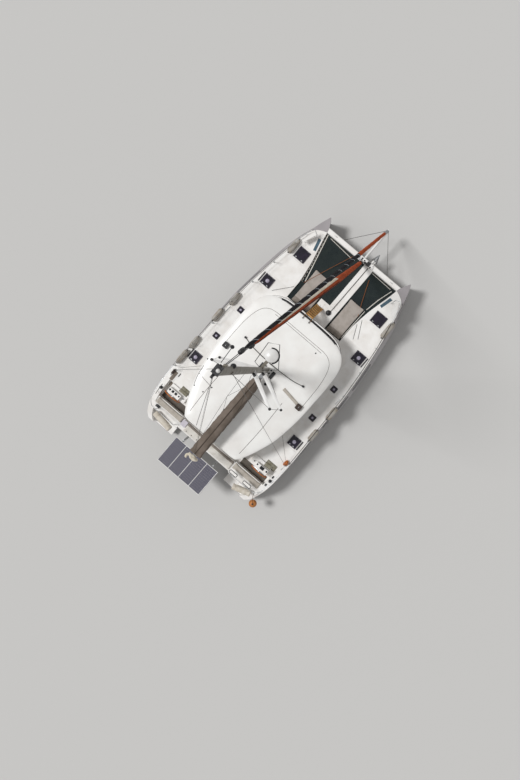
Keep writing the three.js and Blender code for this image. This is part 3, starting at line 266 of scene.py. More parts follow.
def hull_finish():
    """Gray topsides over a thin boot stripe and the antifouling."""
    paint = Paint("hull_sides", "a29d9f", 0.3, 0.0, 0.4)
    up = paint.along("Z")
    paint.tint(paint.between(paint.noise(0.8), 0.42, 0.72), "938e90")
    streaks = paint.noise(0.15, 4.0, (1, 1, 0.15))
    low = paint.between(up, 0.9, 0.1)
    paint.tint(paint.calc("MULTIPLY", paint.between(streaks, 0.5, 0.8, 0, 0.5), low), "857f78")
    paint.tint(paint.between(up, 0.131, 0.13), "e4e2df")
    paint.tint(paint.between(up, 0.081, 0.08), "3a4048")
    paint.dull(paint.noise(0.3), 0.26, 0.4)
    paint.speckle(0.02, 0.0001)
    paint.slot = "topsides_gray"
    return paint


PAINTS["hull_sides"] = hull_finish()


# Shapes
WELD = 2e-5  # points of a solid nearer than this are one


def at(rows, x, column):
    """One column of a table read straight between its rows, which go up in x."""
    for a, b in zip(rows, rows[1:]):
        if x <= b[0] or b is rows[-1]:
            return a[column] + (b[column] - a[column]) * (x - a[0]) / (b[0] - a[0])


def smooth(points, steps, closed=False):
    """More points on a soft curve through the given ones."""
    points = [Vector(p) for p in points]
    count = len(points)
    runs = range(count if closed else count - 1)
    near = (lambda i: points[i % count]) if closed else (lambda i: points[min(max(i, 0), count - 1)])
    result = []
    for i in runs:
        a, b, c, d = near(i - 1), near(i), near(i + 1), near(i + 2)
        for k in range(steps):
            t = k / steps
            result.append(0.5 * (
                2 * b + (c - a) * t + (2 * a - 5 * b + 4 * c - d) * t * t
                + (3 * b - a - 3 * c + d) * t ** 3))
    return result if closed else result + [points[-1]]


def rounded(x0, x1, y0, y1, radius, steps=5):
    """Plan outline of a rectangle with round corners."""
    corners = [(x1 - radius, y1 - radius), (x0 + radius, y1 - radius),
               (x0 + radius, y0 + radius), (x1 - radius, y0 + radius)]
    outline = []
    for turn, (x, y) in enumerate(corners):
        for k in range(steps + 1):
            angle = math.pi / 2 * (turn + k / steps)
            outline.append((x + radius * math.cos(angle), y + radius * math.sin(angle)))
    return outline


def inset(outline, distance):
    """A left-turning outline moved inwards."""
    result = []
    for i, here in enumerate(outline):
        here = Vector(here)
        before = (here - Vector(outline[i - 1])).normalized()
        after = (Vector(outline[(i + 1) % len(outline)]) - here).normalized()
        normal = Vector((-before.y - after.y, before.x + after.x)).normalized()
        reach = distance / max(normal.dot(Vector((-before.y, before.x))), 0.5)
        result.append(tuple(here + normal * reach))
    return result


def turns(count):
    """Angles of even steps round a circle."""
    return [2 * math.pi * k / count for k in range(count)]


def rod(radius):
    """Rows of a turned piece that is as thick all along."""
    return [(radius, 0), (radius, 1)]


def square_to(along):
    """A unit vector at a right angle to a direction."""
    helper = Vector((0, 0, 1)) if abs(along.z) < 0.9 else Vector((1, 0, 0))
    return along.cross(helper).normalized()


def sweep(path, radius, sides, twist=0.0, section=None):
    """Rings round a path. radius is one number or one for each point of the path."""
    path = [Vector(p) for p in path]
    radii = radius if isinstance(radius, (list, tuple)) else [radius] * len(path)
    side = square_to((path[1] - path[0]).normalized())
    rings = []
    gone = 0.0
    for i, point in enumerate(path):
        ahead = path[min(i + 1, len(path) - 1)] - path[max(i - 1, 0)]
        ahead.normalize()
        side = (side - ahead * side.dot(ahead)).normalized()
        up = ahead.cross(side)
        gone += (point - path[i - 1]).length if i else 0.0
        ring = []
        for k in range(sides):
            angle = 2 * math.pi * (k / sides + gone * twist)
            wide, high = section(k / sides) if section else (1.0, 1.0)
            offset = side * math.cos(angle) * wide + up * math.sin(angle) * high
            ring.append(point + offset * radii[i])
        rings.append(ring)
    return rings


class Form:
    """Points and faces of a piece under construction, each face with the number of its paint."""

    def __init__(self):
        self.points = []
        self.faces = []
        self.numbers = []

    def add(self, points, faces, number=0):
        start = len(self.points)
        self.points += [Vector(p) for p in points]
        self.faces += [[i + start for i in face] for face in faces]
        self.numbers += [number] * len(faces)
        return self

    def loft(self, rings, number=0, caps=True, closed=False):
        count = len(rings[0])
        faces = []
        for r in range(len(rings) if closed else len(rings) - 1):
            low, high = r * count, (r + 1) % len(rings) * count
            for i in range(count):
                j = (i + 1) % count
                faces.append([low + i, low + j, high + j, high + i])
        if caps and not closed:
            faces.append(list(reversed(range(count))))
            faces.append(list(range(len(rings) * count - count, len(rings) * count)))
        return self.add([p for ring in rings for p in ring], faces, number)

    def slab(self, outline, z0, z1, number=0):
        return self.loft([[(x, y, z) for x, y in outline] for z in (z0, z1)], number)

    def box(self, x0, x1, y0, y1, z0, z1, number=0):
        return self.slab([(x0, y0), (x1, y0), (x1, y1), (x0, y1)], z0, z1, number)

    def tube(self, path, radius, sides=8, number=0):
        return self.loft(sweep(path, radius, sides), number)

    def ribbon(self, path, width, height, number=0):
        """A flat band along a path."""
        return self.loft(sweep(path, width / 2, 8, 0.0, lambda turn: (1.0, height / width)), number)

    def turned(self, rows, start, end, sides=16, number=0):
        """Rows of radius and share of the way, turned about the line from start to end."""
        start, end = Vector(start), Vector(end)
        path = [start.lerp(end, share) for _, share in rows]
        along = (end - start).normalized()
        side = square_to(along)
        up = along.cross(side)
        rings = []
        for (radius, _), centre in zip(rows, path):
            radius = max(radius, 0.0005)
            rings.append([centre + (side * math.cos(a) + up * math.sin(a)) * radius for a in turns(sides)])
        return self.loft(rings, number)

    def post(self, rows, x, y, low, high, sides, number=0):
        """A turned shape that stands upright."""
        return self.turned(rows, (x, y, low), (x, y, high), sides, number)

    def ring(self, centre, axis, radius, thick, steps=32, sides=10, number=0):
        """A round tube bent into a whole circle about an axis."""
        axis = Vector(axis).normalized()
        helper = Vector((1, 0, 0)) if abs(axis.x) < 0.9 else Vector((0, 1, 0))
        u = axis.cross(helper).normalized()
        v = axis.cross(u)
        rings = []
        for turn in turns(steps):
            out = u * math.cos(turn) + v * math.sin(turn)
            rings.append([
                Vector(centre) + out * (radius + thick * math.cos(a)) + axis * thick * math.sin(a)
                for a in turns(sides)])
        return self.loft(rings, number, closed=True)

    def mirrored(self, side):
        """The same shape on one side of the centreline."""
        self.points = [Vector((p.x, p.y * side, p.z)) for p in self.points]
        return self


def each(rows, add):
    """One form with a part for every row of a table."""
    form = Form()
    for row in rows:
        add(form, *row)
    return form


def round_edges(made, width, angle):
    rounding = made.modifiers.new("edges", "BEVEL")
    rounding.width = width
    rounding.segments = 2
    rounding.limit_method = "ANGLE"
    rounding.angle_limit = math.radians(angle)
    rounding.harden_normals = True


def finished(name, mesh, paints, body, bevel=0.0, angle=30, levels=0):
    """An object from a mesh, with its paints, soft shading, rounded edges and its body."""
    tidy = bmesh.new()
    tidy.from_mesh(mesh)
    bmesh.ops.remove_doubles(tidy, verts=tidy.verts, dist=1e-5)
    bmesh.ops.recalc_face_normals(tidy, faces=tidy.faces)
    tidy.to_mesh(mesh)
    tidy.free()
    for paint in paints:
        mesh.materials.append(PAINTS[paint].material)
    mesh.shade_smooth()
    mesh.set_sharp_from_angle(angle=math.radians(angle))
    made = bpy.data.objects.new(name, mesh)
    bpy.context.scene.collection.objects.link(made)
    if bevel:
        round_edges(made, bevel, angle)
    if levels:
        softer = made.modifiers.new("soft", "SUBSURF")
        softer.levels = levels
        softer.render_levels = levels
    if body:
        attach(made, body)
    return made


def piece(name, form, paints, body="root", replaces=(), **look):
    paints = [paints] if isinstance(paints, str) else paints
    mesh = bpy.data.meshes.new(name)
    mesh.from_pydata(form.points, [], form.faces)
    mesh.polygons.foreach_set("material_index", form.numbers)
    made = finished(name, mesh, paints, body, **look)
    if replaces:
        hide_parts(*([replaces] if isinstance(replaces, str) else replaces))
    return made


def form_of(shape):
    """The form of a bmesh."""
    shape.verts.index_update()
    return Form().add([v.co.copy() for v in shape.verts], [[v.index for v in f.verts] for f in shape.faces])


def skin(node, paints, body="root", bevel=0.0, angle=30, choose=None, move=None, join_flats=True):
    """A welded, smoothly shaded copy of a node that stands in for it.

    choose gives the number of the paint at the middle of a face, move the new place of a point.
    """
    shape = bmesh.new()
    shape.from_mesh(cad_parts[node].data)
    bmesh.ops.remove_doubles(shape, verts=shape.verts, dist=WELD)
    if join_flats:
        bmesh.ops.dissolve_limit(
            shape, angle_limit=math.radians(0.4), verts=shape.verts, edges=shape.edges)
    form = form_of(shape)
    if choose:
        form.numbers = [choose(f.calc_center_median()) for f in shape.faces]
    shape.free()
    if move:
        form.points = [move(p) for p in form.points]
    return piece(f"{node}_skin", form, paints, body, node, bevel=bevel, angle=angle)


def dress(node, paint, bevel=0.0):
    """A node that stays, with a finish and rounded edges."""
    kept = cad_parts[node]
    slot = kept.material_slots[0]
    slot.link = "OBJECT"
    slot.material = PAINTS[paint].material
    if bevel:
        weld = kept.modifiers.new("weld", "WELD")
        weld.merge_threshold = WELD
        flat = kept.modifiers.new("flat", "DECIMATE")
        flat.decimate_type = "DISSOLVE"
        flat.angle_limit = math.radians(0.5)
        round_edges(kept, bevel, 30)


def tree_of(names):
    """A search tree of the faces of some nodes."""
    points, faces = [], []
    for name in names:
        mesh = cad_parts[name].data
        start = len(points)
        points += [v.co.copy() for v in mesh.vertices]
        faces += [[i + start for i in face.vertices] for face in mesh.polygons]
    return BVHTree.FromPolygons(points, faces)


def height_at(tree, x, y, above=9.0):
    """Height of the first face under a point."""
    return tree.ray_cast(Vector((x, y, above)), Vector((0, 0, -1)))[0].z


# Camera, light and floor
CAMERA_PLACE = (0.7725, -1.7213, 35.384)
CAMERA_RIGHT = (0.64656, -0.75864, -0.08015)
CAMERA_UP = (0.75941, 0.65006, -0.02684)
CAMERA_BACK = (0.07246, -0.04351, 0.99642)
CAMERA_LENS = 35.82  # millimetres, for a sensor 36 mm wide
SUN_FROM = (-0.224, 0.446, 0.866)
SUN_STRENGTH = 2.1
SKY_STRENGTH = 0.42
FLOOR_HALF = 120


def stand_and_light():
    scene = bpy.context.scene
    scene.view_settings.view_transform = "Standard"
    data = bpy.data.cameras.new("camera")
    data.lens = CAMERA_LENS
    data.sensor_width = 36
    data.clip_end = 500
    camera = bpy.data.objects.new("camera", data)
    axes = Matrix((CAMERA_RIGHT, CAMERA_UP, CAMERA_BACK)).transposed()
    camera.matrix_world = Matrix.Translation(CAMERA_PLACE) @ axes.to_4x4()
    scene.collection.objects.link(camera)
    scene.camera = camera
    sun = bpy.data.lights.new("sun", "SUN")
    sun.energy = SUN_STRENGTH
    sun.angle = math.radians(12)
    lamp = bpy.data.objects.new("sun", sun)
    lamp.rotation_mode = "QUATERNION"
    lamp.rotation_quaternion = Vector(SUN_FROM).to_track_quat("Z", "Y")
    scene.collection.objects.link(lamp)
    world = bpy.data.worlds.new("studio")
    world.use_nodes = True
    sky = world.node_tree.nodes["Background"]
    sky.inputs["Color"].default_value = (1.0, 1.0, 1.0, 1.0)
    sky.inputs["Strength"].default_value = SKY_STRENGTH
    scene.world = world
    mesh = bpy.data.meshes.new("floor")
    corners = [(-1, -1), (1, -1), (1, 1), (-1, 1)]
    mesh.from_pydata([(x * FLOOR_HALF, y * FLOOR_HALF, 0) for x, y in corners], [], [[0, 1, 2, 3]])
    mesh.materials.append(Paint("floor", "c6c5c3", 0.9).material)
    floor = bpy.data.objects.new("floor", mesh)
    scene.collection.objects.link(floor)


stand_and_light()


# Hulls and decks
HULL_TREE = tree_of(["hull_port", "side_deck_port"])
CORNER = (-5.86, -5.34, 0.335, 0.525)  # x and z round the moulding's lower corner in the hull's side
CORNER_COVER = 0.0015


def side_at(x, z):
    """Half breadth of the hull's outer side."""
    return HULL_TREE.ray_cast(Vector((x, 9, z)), Vector((0, -1, 0)))[0].y


def straight_side(x, z):
    """Half breadth near the corner, read between the whole skin below and above it."""
    aft, fore, low, high = CORNER
    x = min(max(x, aft), fore)
    return side_at(x, low) + (side_at(x, high) - side_at(x, low)) * (z - low) / (high - low)


def behind_side(p):
    """A point of the quarter moulding, drawn in where its lower corner would stand out of the hull."""
    if p.z > CORNER[3] or abs(p.y) < 2.8:
        return p
    return Vector((p.x, math.copysign(min(abs(p.y), straight_side(p.x, p.z) - 0.006), p.y), p.z))


def hulls():
    for _, word in SIDES:
        skin(f"hull_{word}", "hull_sides", join_flats=False)
        skin(f"keel_{word}", "antifouling", bevel=0.006)
        skin(f"rudder_{word}", "antifouling", f"rudder_{word}_body", bevel=0.003)
        skin(f"saildrive_{word}", "drive", bevel=0.005)
        dress(f"engine_{word}", "drive", 0.02)
        dress(f"side_deck_{word}", "gelcoat", 0.008)
        skin(f"quarter_{word}", "gelcoat", bevel=0.015, move=behind_side)
    dress("bridgedeck", "gelcoat", 0.02)


WINDOWS = [(-2.9, -1.5), (-1.2, 0.6), (0.9, 2.3)]  # x where each pane starts and ends
WINDOW_Z = 1.22
WINDOW_HALF = 0.11  # half of its height
PANE_STANDS_OUT = 0.006
PANE_STEPS = 40


def on_side(form, stations, breadth):
    """A thin band on the port hull's outer side. Each station is an x and its lowest and highest z."""
    rings = []
    for x, low, high in stations:
        heights = [low + (high - low) * share for share in (0, 0.25, 0.5, 0.75, 1)]
        outer = [Vector((x, breadth(x, z), z)) for z in heights]
        rings.append(outer + [p - Vector((0, 0.01, 0)) for p in reversed(outer)])
    form.loft(rings)


def hull_windows():
    """Dark panes in each hull's upper side, and the gray skin over the moulding's lower corner."""
    panes, cover = Form(), Form()
    for aft, fore in WINDOWS:
        stations = []
        for k in range(PANE_STEPS + 1):
            place = -math.cos(math.pi * k / PANE_STEPS)
            half = max(WINDOW_HALF * math.sqrt(1 - abs(place) ** 7), 0.006)
            stations.append(((aft + fore + place * (fore - aft)) / 2, WINDOW_Z - half, WINDOW_Z + half))
        on_side(panes, stations, lambda x, z: side_at(x, z) + PANE_STANDS_OUT)
    aft, fore, low, high = CORNER
    stations = [(aft + (fore - aft) * k / 16, low, high) for k in range(17)]
    on_side(cover, stations, lambda x, z: straight_side(x, z) + CORNER_COVER)
    for side, word in SIDES:
        for form, name, paint in ((panes, "hull_windows", "glass"), (cover, "hull_patch", "hull_sides")):
            copy = Form().add(form.points, form.faces).mirrored(side)
            piece(f"{name}_{word}", copy, paint, angle=40)


hulls()
hull_windows()


# Cabin and roof
ROOF_HALF = [
    # x, y
    (-4.56, 0.0), (-4.56, 0.7), (-4.55, 1.3), (-4.42, 1.5), (-3.9, 1.79), (-3.1, 2.09), (-2.5, 2.235),
    (-1.5, 2.355), (-0.5, 2.38), (0.3, 2.38), (1.1, 2.31), (1.56, 2.1), (1.83, 1.75), (1.95, 1.3),
    (2.0, 0.65), (2.01, 0.0),
]
ROOF_LAYERS = [
    # z, distance in from the widest line
    (2.801, 0.12), (2.83, 0.03), (2.855, 0.004), (2.88, 0.004), (2.905, 0.028), (2.925, 0.07),
    (2.942, 0.13), (2.957, 0.21), (2.969, 0.31), (2.975, 0.4),
]
CROWN = 0.035


def whole_outline(half, steps=5):
    """Closed left-turning outline from a port half that starts and ends on the centreline."""
    port = smooth([(x, y, 0) for x, y in half], steps)
    starboard = [Vector((p.x, -p.y, 0)) for p in port[1:-1]]
    outline = port + list(reversed(starboard))
    return [(p.x, p.y) for p in reversed(outline)]


def drawn_in(outline, distance):
    """A large outline made smaller about its middle, so that tight corners don't fold."""
    xs, ys = zip(*outline)
    middle = Vector(((min(xs) + max(xs)) / 2, (min(ys) + max(ys)) / 2))
    shares = [1 - 2 * distance / (max(row) - min(row)) for row in (xs, ys)]
    return [(middle.x + (x - middle.x) * shares[0], middle.y + (y - middle.y) * shares[1])
            for x, y in outline]


def roof():
    form = Form()
    outline = whole_outline(ROOF_HALF)
    rings = [[(x, y, z) for x, y in drawn_in(outline, distance)] for z, distance in ROOF_LAYERS]
    flat = drawn_in(outline, ROOF_LAYERS[-1][1])
    middle = (max(x for x, _ in flat) + min(x for x, _ in flat)) / 2
    for share in (0.93, 0.84, 0.72, 0.58, 0.4, 0.2, 0.0):
        z = ROOF_LAYERS[-1][0] + CROWN * (1 - share ** 2)
        rings.append([(middle + (x - middle) * share, y * share, z) for x, y in flat])
    form.loft(rings, caps=False)
    form.add(rings[0], [list(reversed(range(len(outline))))])
    form.loft([[(x, y, z) for x, y in rounded(-1.01, -0.49, -0.2, 0.2, 0.06)] for z in (2.9, 3.08)])
    for side, _ in SIDES:
        form.tube([(-4.4, side * 1.56, ON_DECK), (-4.18, side * 1.44, 2.85)], 0.045, 16)
    piece("roof_shell", form, "roof_gelcoat", replaces="roof", bevel=0.01, angle=35)
    return BVHTree.FromPolygons(form.points, form.faces)


def cabin():
    skin("cabin_walls", "gelcoat", bevel=0.008)
    skin("cabin_glazing", "glass", bevel=0.004)
    dress("aft_bulkhead", "gelcoat", 0.006)
    dress("saloon_door", "glass", 0.006)
    dress("saloon_furniture", "teak", 0.01)
    dress("cockpit_table", "gelcoat", 0.01)


cabin()
ROOF_TREE = roof()


# Foredeck
def foredeck():
    skin("crossbeam", "gelcoat", bevel=0.008)
    dress("longeron", "gelcoat", 0.01)
    skin("bowsprit", "white_alloy")
    skin("anchor", "stainless", bevel=0.003)
    skin("windlass", "black_plastic", bevel=0.004, angle=35)
    dress("roof_ladder", "teak", 0.004)
    # thin dark brown strips along both edges of each tread: painted shade of the gaps between the treads
    gap_shades = Form()
    for i in range(7):
        share = (i + 0.6) / 7
        x, z = 2.76 - 0.67 * share, 1.5 + 1.46 * share + 0.0145
        for edge in (x + 0.036, x - 0.046):
            gap_shades.slab(rounded(edge - 0.007, edge + 0.007, -0.035, 0.28, 0.005), z, z + 0.003)
    piece("ladder_gap_shade", gap_shades, "brown", bevel=0.001)


foredeck()


# Nets, each a sheet that sags a little inside a webbing border
NET_SAG = 0.02
SAG_REACH = 0.6  # how far from the edge the net gets level
NET_STEP = 0.12


def net_outline(side):
    fore, aft, gap = BEAM[0] - CLEAR, FRONT_WALL_X + CLEAR, CLEAR
    if side > 0:
        inner = [(fore, -0.17 + gap), (NOSE_X + gap, -0.17 + gap), (NOSE_X + gap, NOSE_Y[1] + gap),
                 (aft, NOSE_Y[1] + gap)]
    else:
        inner = [(fore, 0.63 + gap), (aft, 0.63 + gap)]
    rows = [(row[0], row[1] - gap) for row in HULL_ROWS if FRONT_WALL_X < row[0] < BEAM[0]]
    last = (fore, inner_side(BEAM[0]) - gap)
    return inner + [(aft, 1.5 - gap)] + rows + [last]


def area_of(outline):
    pairs = zip(outline, outline[1:] + outline[:1])
    return abs(sum(a[0] * b[1] - b[0] * a[1] for a, b in pairs)) / 2


def cut_up(shape, step):
    """Cuts a flat face into squares of about one step."""
    for axis, low, high in ((0, FRONT_WALL_X, BEAM[0]), (1, -2.0, 2.0)):
        place = low + step
        while place < high:
            point = [0, 0, 0]
            point[axis] = place
            normal = [0, 0, 0]
            normal[axis] = 1
            everything = shape.verts[:] + shape.edges[:] + shape.faces[:]
            bmesh.ops.bisect_plane(shape, geom=everything, plane_co=point, plane_no=normal)
            place += step


def let_sag(shape, side, outline):
    """Lowers the points of a net towards its middle."""
    edge = [(Vector((*a, 0)), Vector((*b, 0))) for a, b in zip(outline, outline[1:] + outline[:1])]
    for vertex in shape.verts:
        here = Vector((vertex.co.x, side * vertex.co.y, 0))
        reach = []
        for a, b in edge:
            share = min(max((here - a).dot(b - a) / (b - a).length_squared, 0), 1)
            reach.append((here - a.lerp(b, share)).length)
        inside = min(min(reach) / SAG_REACH, 1)
        ripple = noise.noise(here * 2.5) * 0.004
        vertex.co.z -= (NET_SAG + ripple) * inside * (2 - inside)


def net(side, word):
    outline = net_outline(side)
    shape = bmesh.new()
    shape.faces.new([shape.verts.new((x, side * y, NET_TOP - 0.004)) for x, y in outline])
    cut_up(shape, NET_STEP)
    let_sag(shape, side, outline)
    form = form_of(shape)
    shape.free()
    sheet = piece(f"net_{word}_sheet", form, "net", replaces=f"net_{word}", angle=60)
    width = max(x for x, _ in outline) - min(x for x, _ in outline)
    length = max(y for _, y in outline) - min(y for _, y in outline)
    min(area_of(outline), width * length)


for side, word in SIDES:
    net(side, word)


# Places on other pieces
DECK_TREE = tree_of(["bridgedeck", "crossbeam", "longeron"] + [
    f"{node}_{word}" for node in ("hull", "side_deck", "quarter") for _, word in SIDES])


def both(name, build, paints, body="root", node=(), **look):
    """Port and starboard pieces from one port form. {} in a name stands for the side's word."""
    for side, word in SIDES:
        nodes = node.format(word) if node else ()
        piece(name.format(word), build().mirrored(side), paints, body.format(word), nodes, **look)


def both_ways(half):
    """A port half that ends on the centreline, and its mirror image."""
    return half + [(x, -y) for x, y in reversed(half[:-1])]


def deck_z(x, y, above=9.0):
    return height_at(DECK_TREE, x, y, above)


def roof_z(x, y):
    return height_at(ROOF_TREE, x, y)


# Roof gear
ROOF_GROOVES = [
    [(-1.05, 2.1), (-0.5, 2.1), (0.3, 2.06), (0.9, 1.92), (1.2, 1.7), (1.33, 1.35), (1.34, 0.7),
     (1.34, 0.0)],
    [(1.24, 1.26), (1.25, 0.7), (1.25, 0.0)],
]
ROOF_SEAM = [(-1.4, 1.37), (-2.86, 1.42), (-4.2, 1.38)]
JIB_TRACK = [(-0.3, 1.58), (-0.42, 1.0), (-0.46, 0.0)]
ROOF_EDGE = [(1.9, 1.46), (1.955, 1.25), (1.985, 0.65), (1.995, 0.0)]
ROOF_BOX = (-1.08, 2.0, 0.12)  # x, y and half its side
LINE_COVER = [(-0.9, -1.03), (-0.96, -1.45), (-1.02, -1.87)]
ROOF_BUTTONS = [(1.09, -1.08), (-2.03, 2.23), (-3.24, 1.94), (-3.21, 1.48), (-2.83, 1.31)]
ROOF_ROPES = [
    [(-2.35, 2.17), (-2.78, 2.12), (-3.22, 1.98)],
    [(-2.72, 2.12), (-2.83, 1.31)],
    [(-2.9, 1.41), (-3.85, 1.03), (-4.48, 0.78)],
]


def over_roof(points, steps, lift):
    """A soft line over the roof, some way above it."""
    line = smooth([(x, y, 0) for x, y in points], steps)
    return [(p.x, p.y, roof_z(p.x, p.y) + lift) for p in line]


def roof_lines():
    grooves = Form()
    # the groove ribbons are painted shade in the grooves; the seam ribbons below are the roof's seam lines
    for half in ROOF_GROOVES:
        grooves.ribbon(over_roof(both_ways(half), 8, 0.002), 0.016, 0.01)
    for side, _ in SIDES:
        grooves.ribbon(over_roof([(x, side * y) for x, y in ROOF_SEAM], 6, 0.002), 0.02, 0.01)
    piece("roof_seams_and_groove_shade", grooves, "seam")
    # a black band along the roof's front edge: partly the dark glazing below it, partly painted shade under
    # the roof's edge
    edge = Form().ribbon([(x, y, 2.9) for x, y in both_ways(ROOF_EDGE)], 0.075, 0.05)
    piece("roof_front_shade", edge, "black_plastic", angle=60)
    track = Form()
    line = over_roof(both_ways(JIB_TRACK), 6, 0.035)
    track.ribbon(line, 0.03, 0.02)
    for x, y, z in line[::4] + [line[-1]]:
        track.post(rod(0.014), x, y, z - 0.04, z, 8)
    for x, y, z in (line[0], line[-1]):
        track.box(x - 0.04, x + 0.04, y - 0.05, y + 0.05, z - 0.02, z + 0.035, 1)
    piece("jib_track", track, ["wire", "black_plastic"], bevel=0.003, angle=50)


def roof_boxes():
    x, y, half = ROOF_BOX
    boxes = Form()
    for side, paint in ((1, 2), (-1, 0)):
        place = side * y
        z = roof_z(x, place)
        body = rounded(x - half, x + half, place - half, place + half, 0.03)
        boxes.slab(body, z - 0.01, z + 0.085, paint)
        boxes.slab(inset(body, -0.008), z + 0.088, z + 0.108, paint)
        handle = [(-0.05, 0.105), (-0.04, 0.13), (0.04, 0.13), (0.05, 0.105)]
        boxes.tube([(x + along, place, z + up) for along, up in handle], 0.007, 8, 1)
    piece("roof_boxes", boxes, ["brown", "stainless", "black_plastic"], bevel=0.006)


def roof_fittings():
    cover = Form().ribbon(over_roof(LINE_COVER, 8, 0.02), 0.14, 0.07)
    piece("line_cover", cover, "pad_warm", angle=60)
    buttons = Form()
    for x, y in ROOF_BUTTONS:
        z = roof_z(x, y)
        buttons.post([(0.03, 0), (0.03, 0.4), (0.018, 0.7), (0.012, 1)], x, y, z - 0.004, z + 0.035, 16)
    piece("roof_buttons", buttons, "black_plastic", angle=50)
    ropes = Form()
    for points in ROOF_ROPES:
        ropes.tube(over_roof(points, 8, 0.008), 0.007, 8)
    for side, _ in SIDES:
        x, y = -2.35, side * 2.17
        ropes.tube([(-3.26, side * 3.08, 1.9), (x, y, roof_z(x, y) + 0.01)], 0.006, 8)
    piece("roof_ropes", ropes, "dark_rope", angle=60)
    hooks = Form()
    for y in (-0.04, 0.285):
        path = [(2.08, y, 2.95), (2.03, y, 3.01), (1.95, y, 3.02), (1.87, y, 2.985)]
        hooks.tube(smooth(path, 4), 0.012, 8)
        hooks.post(rod(0.028), 1.87, y, 2.95, 2.995, 12)
    piece("ladder_hooks", hooks, "black_plastic", angle=50)


roof_lines()
roof_boxes()
roof_fittings()


# Hatches: each lid's frame, handles, hinges and vent ride with it
HATCHES = {
    # x of the forward and aft edge, y of the inner and outer edge
    "bow": (4.24, 3.69, 1.89, 2.46),
    "cabin": (2.39, 1.9, 2.345, 2.85),
    "aft": (-2.2, -2.68, 2.63, 3.08),
}
VENTED = ("cabin", "aft")


def hatch_trim(fore, aft, inner, outer, vent):
    top = DECK + 0.04
    low = top - 0.012
    form = Form()
    rim = rounded(aft + 0.002, fore - 0.002, inner + 0.002, outer - 0.002, 0.03)
    hole = inset(rim, 0.03)
    section = ((rim, low), (rim, top + 0.004), (hole, top + 0.004), (hole, low))
    form.loft([[(x, y, z) for x, y in line] for line, z in section], closed=True)
    for y in (inner + 0.13, outer - 0.13):
        form.slab(rounded(aft + 0.035, aft + 0.075, y - 0.035, y + 0.035, 0.012), top - 0.002, top + 0.02, 1)
        form.tube([(fore - 0.02, y + half, top + 0.002) for half in (-0.03, 0.03)], 0.009, 8, 1)
    if vent:
        rows = [(0.085, 0), (0.085, 0.5), (0.07, 0.9), (0.02, 1)]
        form.post(rows, (fore + aft) / 2, (inner + outer) / 2, top - 0.002, top + 0.022, 24, 2)
    return form


def hatches():
    for kind, (fore, aft, inner, outer) in HATCHES.items():
        for _, word in SIDES:
            dress(f"{kind}_hatch_{word}", "acrylic", 0.004)
        both(f"{kind}_hatch_trim_{{}}", lambda: hatch_trim(fore, aft, inner, outer, kind in VENTED),
             ["hatch_frame", "alloy", "vent"], f"{kind}_hatch_{{}}_body", bevel=0.002, angle=40)


hatches()


# Deck fittings
SMALL_HATCHES = [(0.29, 0.56, 2.54, 2.81), (-1.26, -0.99, 2.63, 2.91)]
DECK_STRIPS = [(-2.65, -2.2, 3.12, 3.18), (1.9, 2.39, 2.9, 2.95)]
NON_SLIP = [(4.36, 4.95), (2.5, 3.6), (0.7, 1.8), (-0.9, 0.2), (-2.1, -1.35), (-3.4, -2.78)]
CLEATS = [(4.62, 2.53), (0.1, 3.14), (-3.62, 3.2)]
# A flat blue-gray panel on each bow deck, inboard of the bow seat, where the seat's shadow falls: painted
# shadow.
BOW_SHADE_PANEL = [(4.97, 2.09), (4.42, 1.94), (4.46, 1.82), (4.99, 1.95)]


def small_hatch(form, aft, fore, inner, outer):
    rim = rounded(aft, fore, inner, outer, 0.03)
    form.slab(rim, ON_DECK, DECK + 0.02, 1)
    form.slab(inset(rim, 0.022), DECK + 0.016, DECK + 0.026, 0)
    x, y = (aft + fore) / 2, (inner + outer) / 2
    form.post([(0.05, 0), (0.05, 0.6), (0.03, 1)], x, y, DECK + 0.024, DECK + 0.036, 20, 2)


def deck_strip(form, aft, fore, inner, outer):
    form.slab(rounded(aft, fore, inner, outer, 0.012), ON_DECK, DECK + 0.03)


def cleat(form, x, y):
    base = deck_z(x, y)
    for way in (-0.05, 0.05):
        form.post([(0.02, 0), (0.014, 0.5), (0.012, 1)], x + way, y, base, base + 0.04, 10)
    horn = smooth([(x + way, y, base + up) for way, up in (
        (-0.15, 0.055), (-0.07, 0.042), (0.07, 0.042), (0.15, 0.055))], 3)
    form.tube(horn, [0.008] + [0.014] * (len(horn) - 2) + [0.008], 10)


def non_slip_panel(form, aft, fore):
    inner, outer = [], []
    for k in range(7):
        x = aft + (fore - aft) * k / 6
        inner.append((x, 2.33 if x < FRONT_WALL_X else inner_side(x) + 0.1))
        outer.append((x, deck_edge(x) - 0.17))
    form.slab(inner + outer[::-1], DECK + 0.0003, DECK + 0.0028)


def deck_fittings():
    both("small_hatches_{}", lambda: each(SMALL_HATCHES, small_hatch), ["acrylic", "hatch_frame", "vent"],
         bevel=0.003)
    both("deck_strips_{}", lambda: each(DECK_STRIPS, deck_strip), "black_plastic", bevel=0.004)
    both("cleats_{}", lambda: each(CLEATS, cleat), "stainless", angle=60)
    both("non_slip_{}", lambda: each(NON_SLIP, non_slip_panel), "non_slip", bevel=0.001)
    # the blue-gray panel is painted shadow of the bow seat
    both("bow_shade_panel_{}", lambda: Form().slab(BOW_SHADE_PANEL, ON_DECK, DECK + 0.012), "bow_glass", bevel=0.004)


deck_fittings()


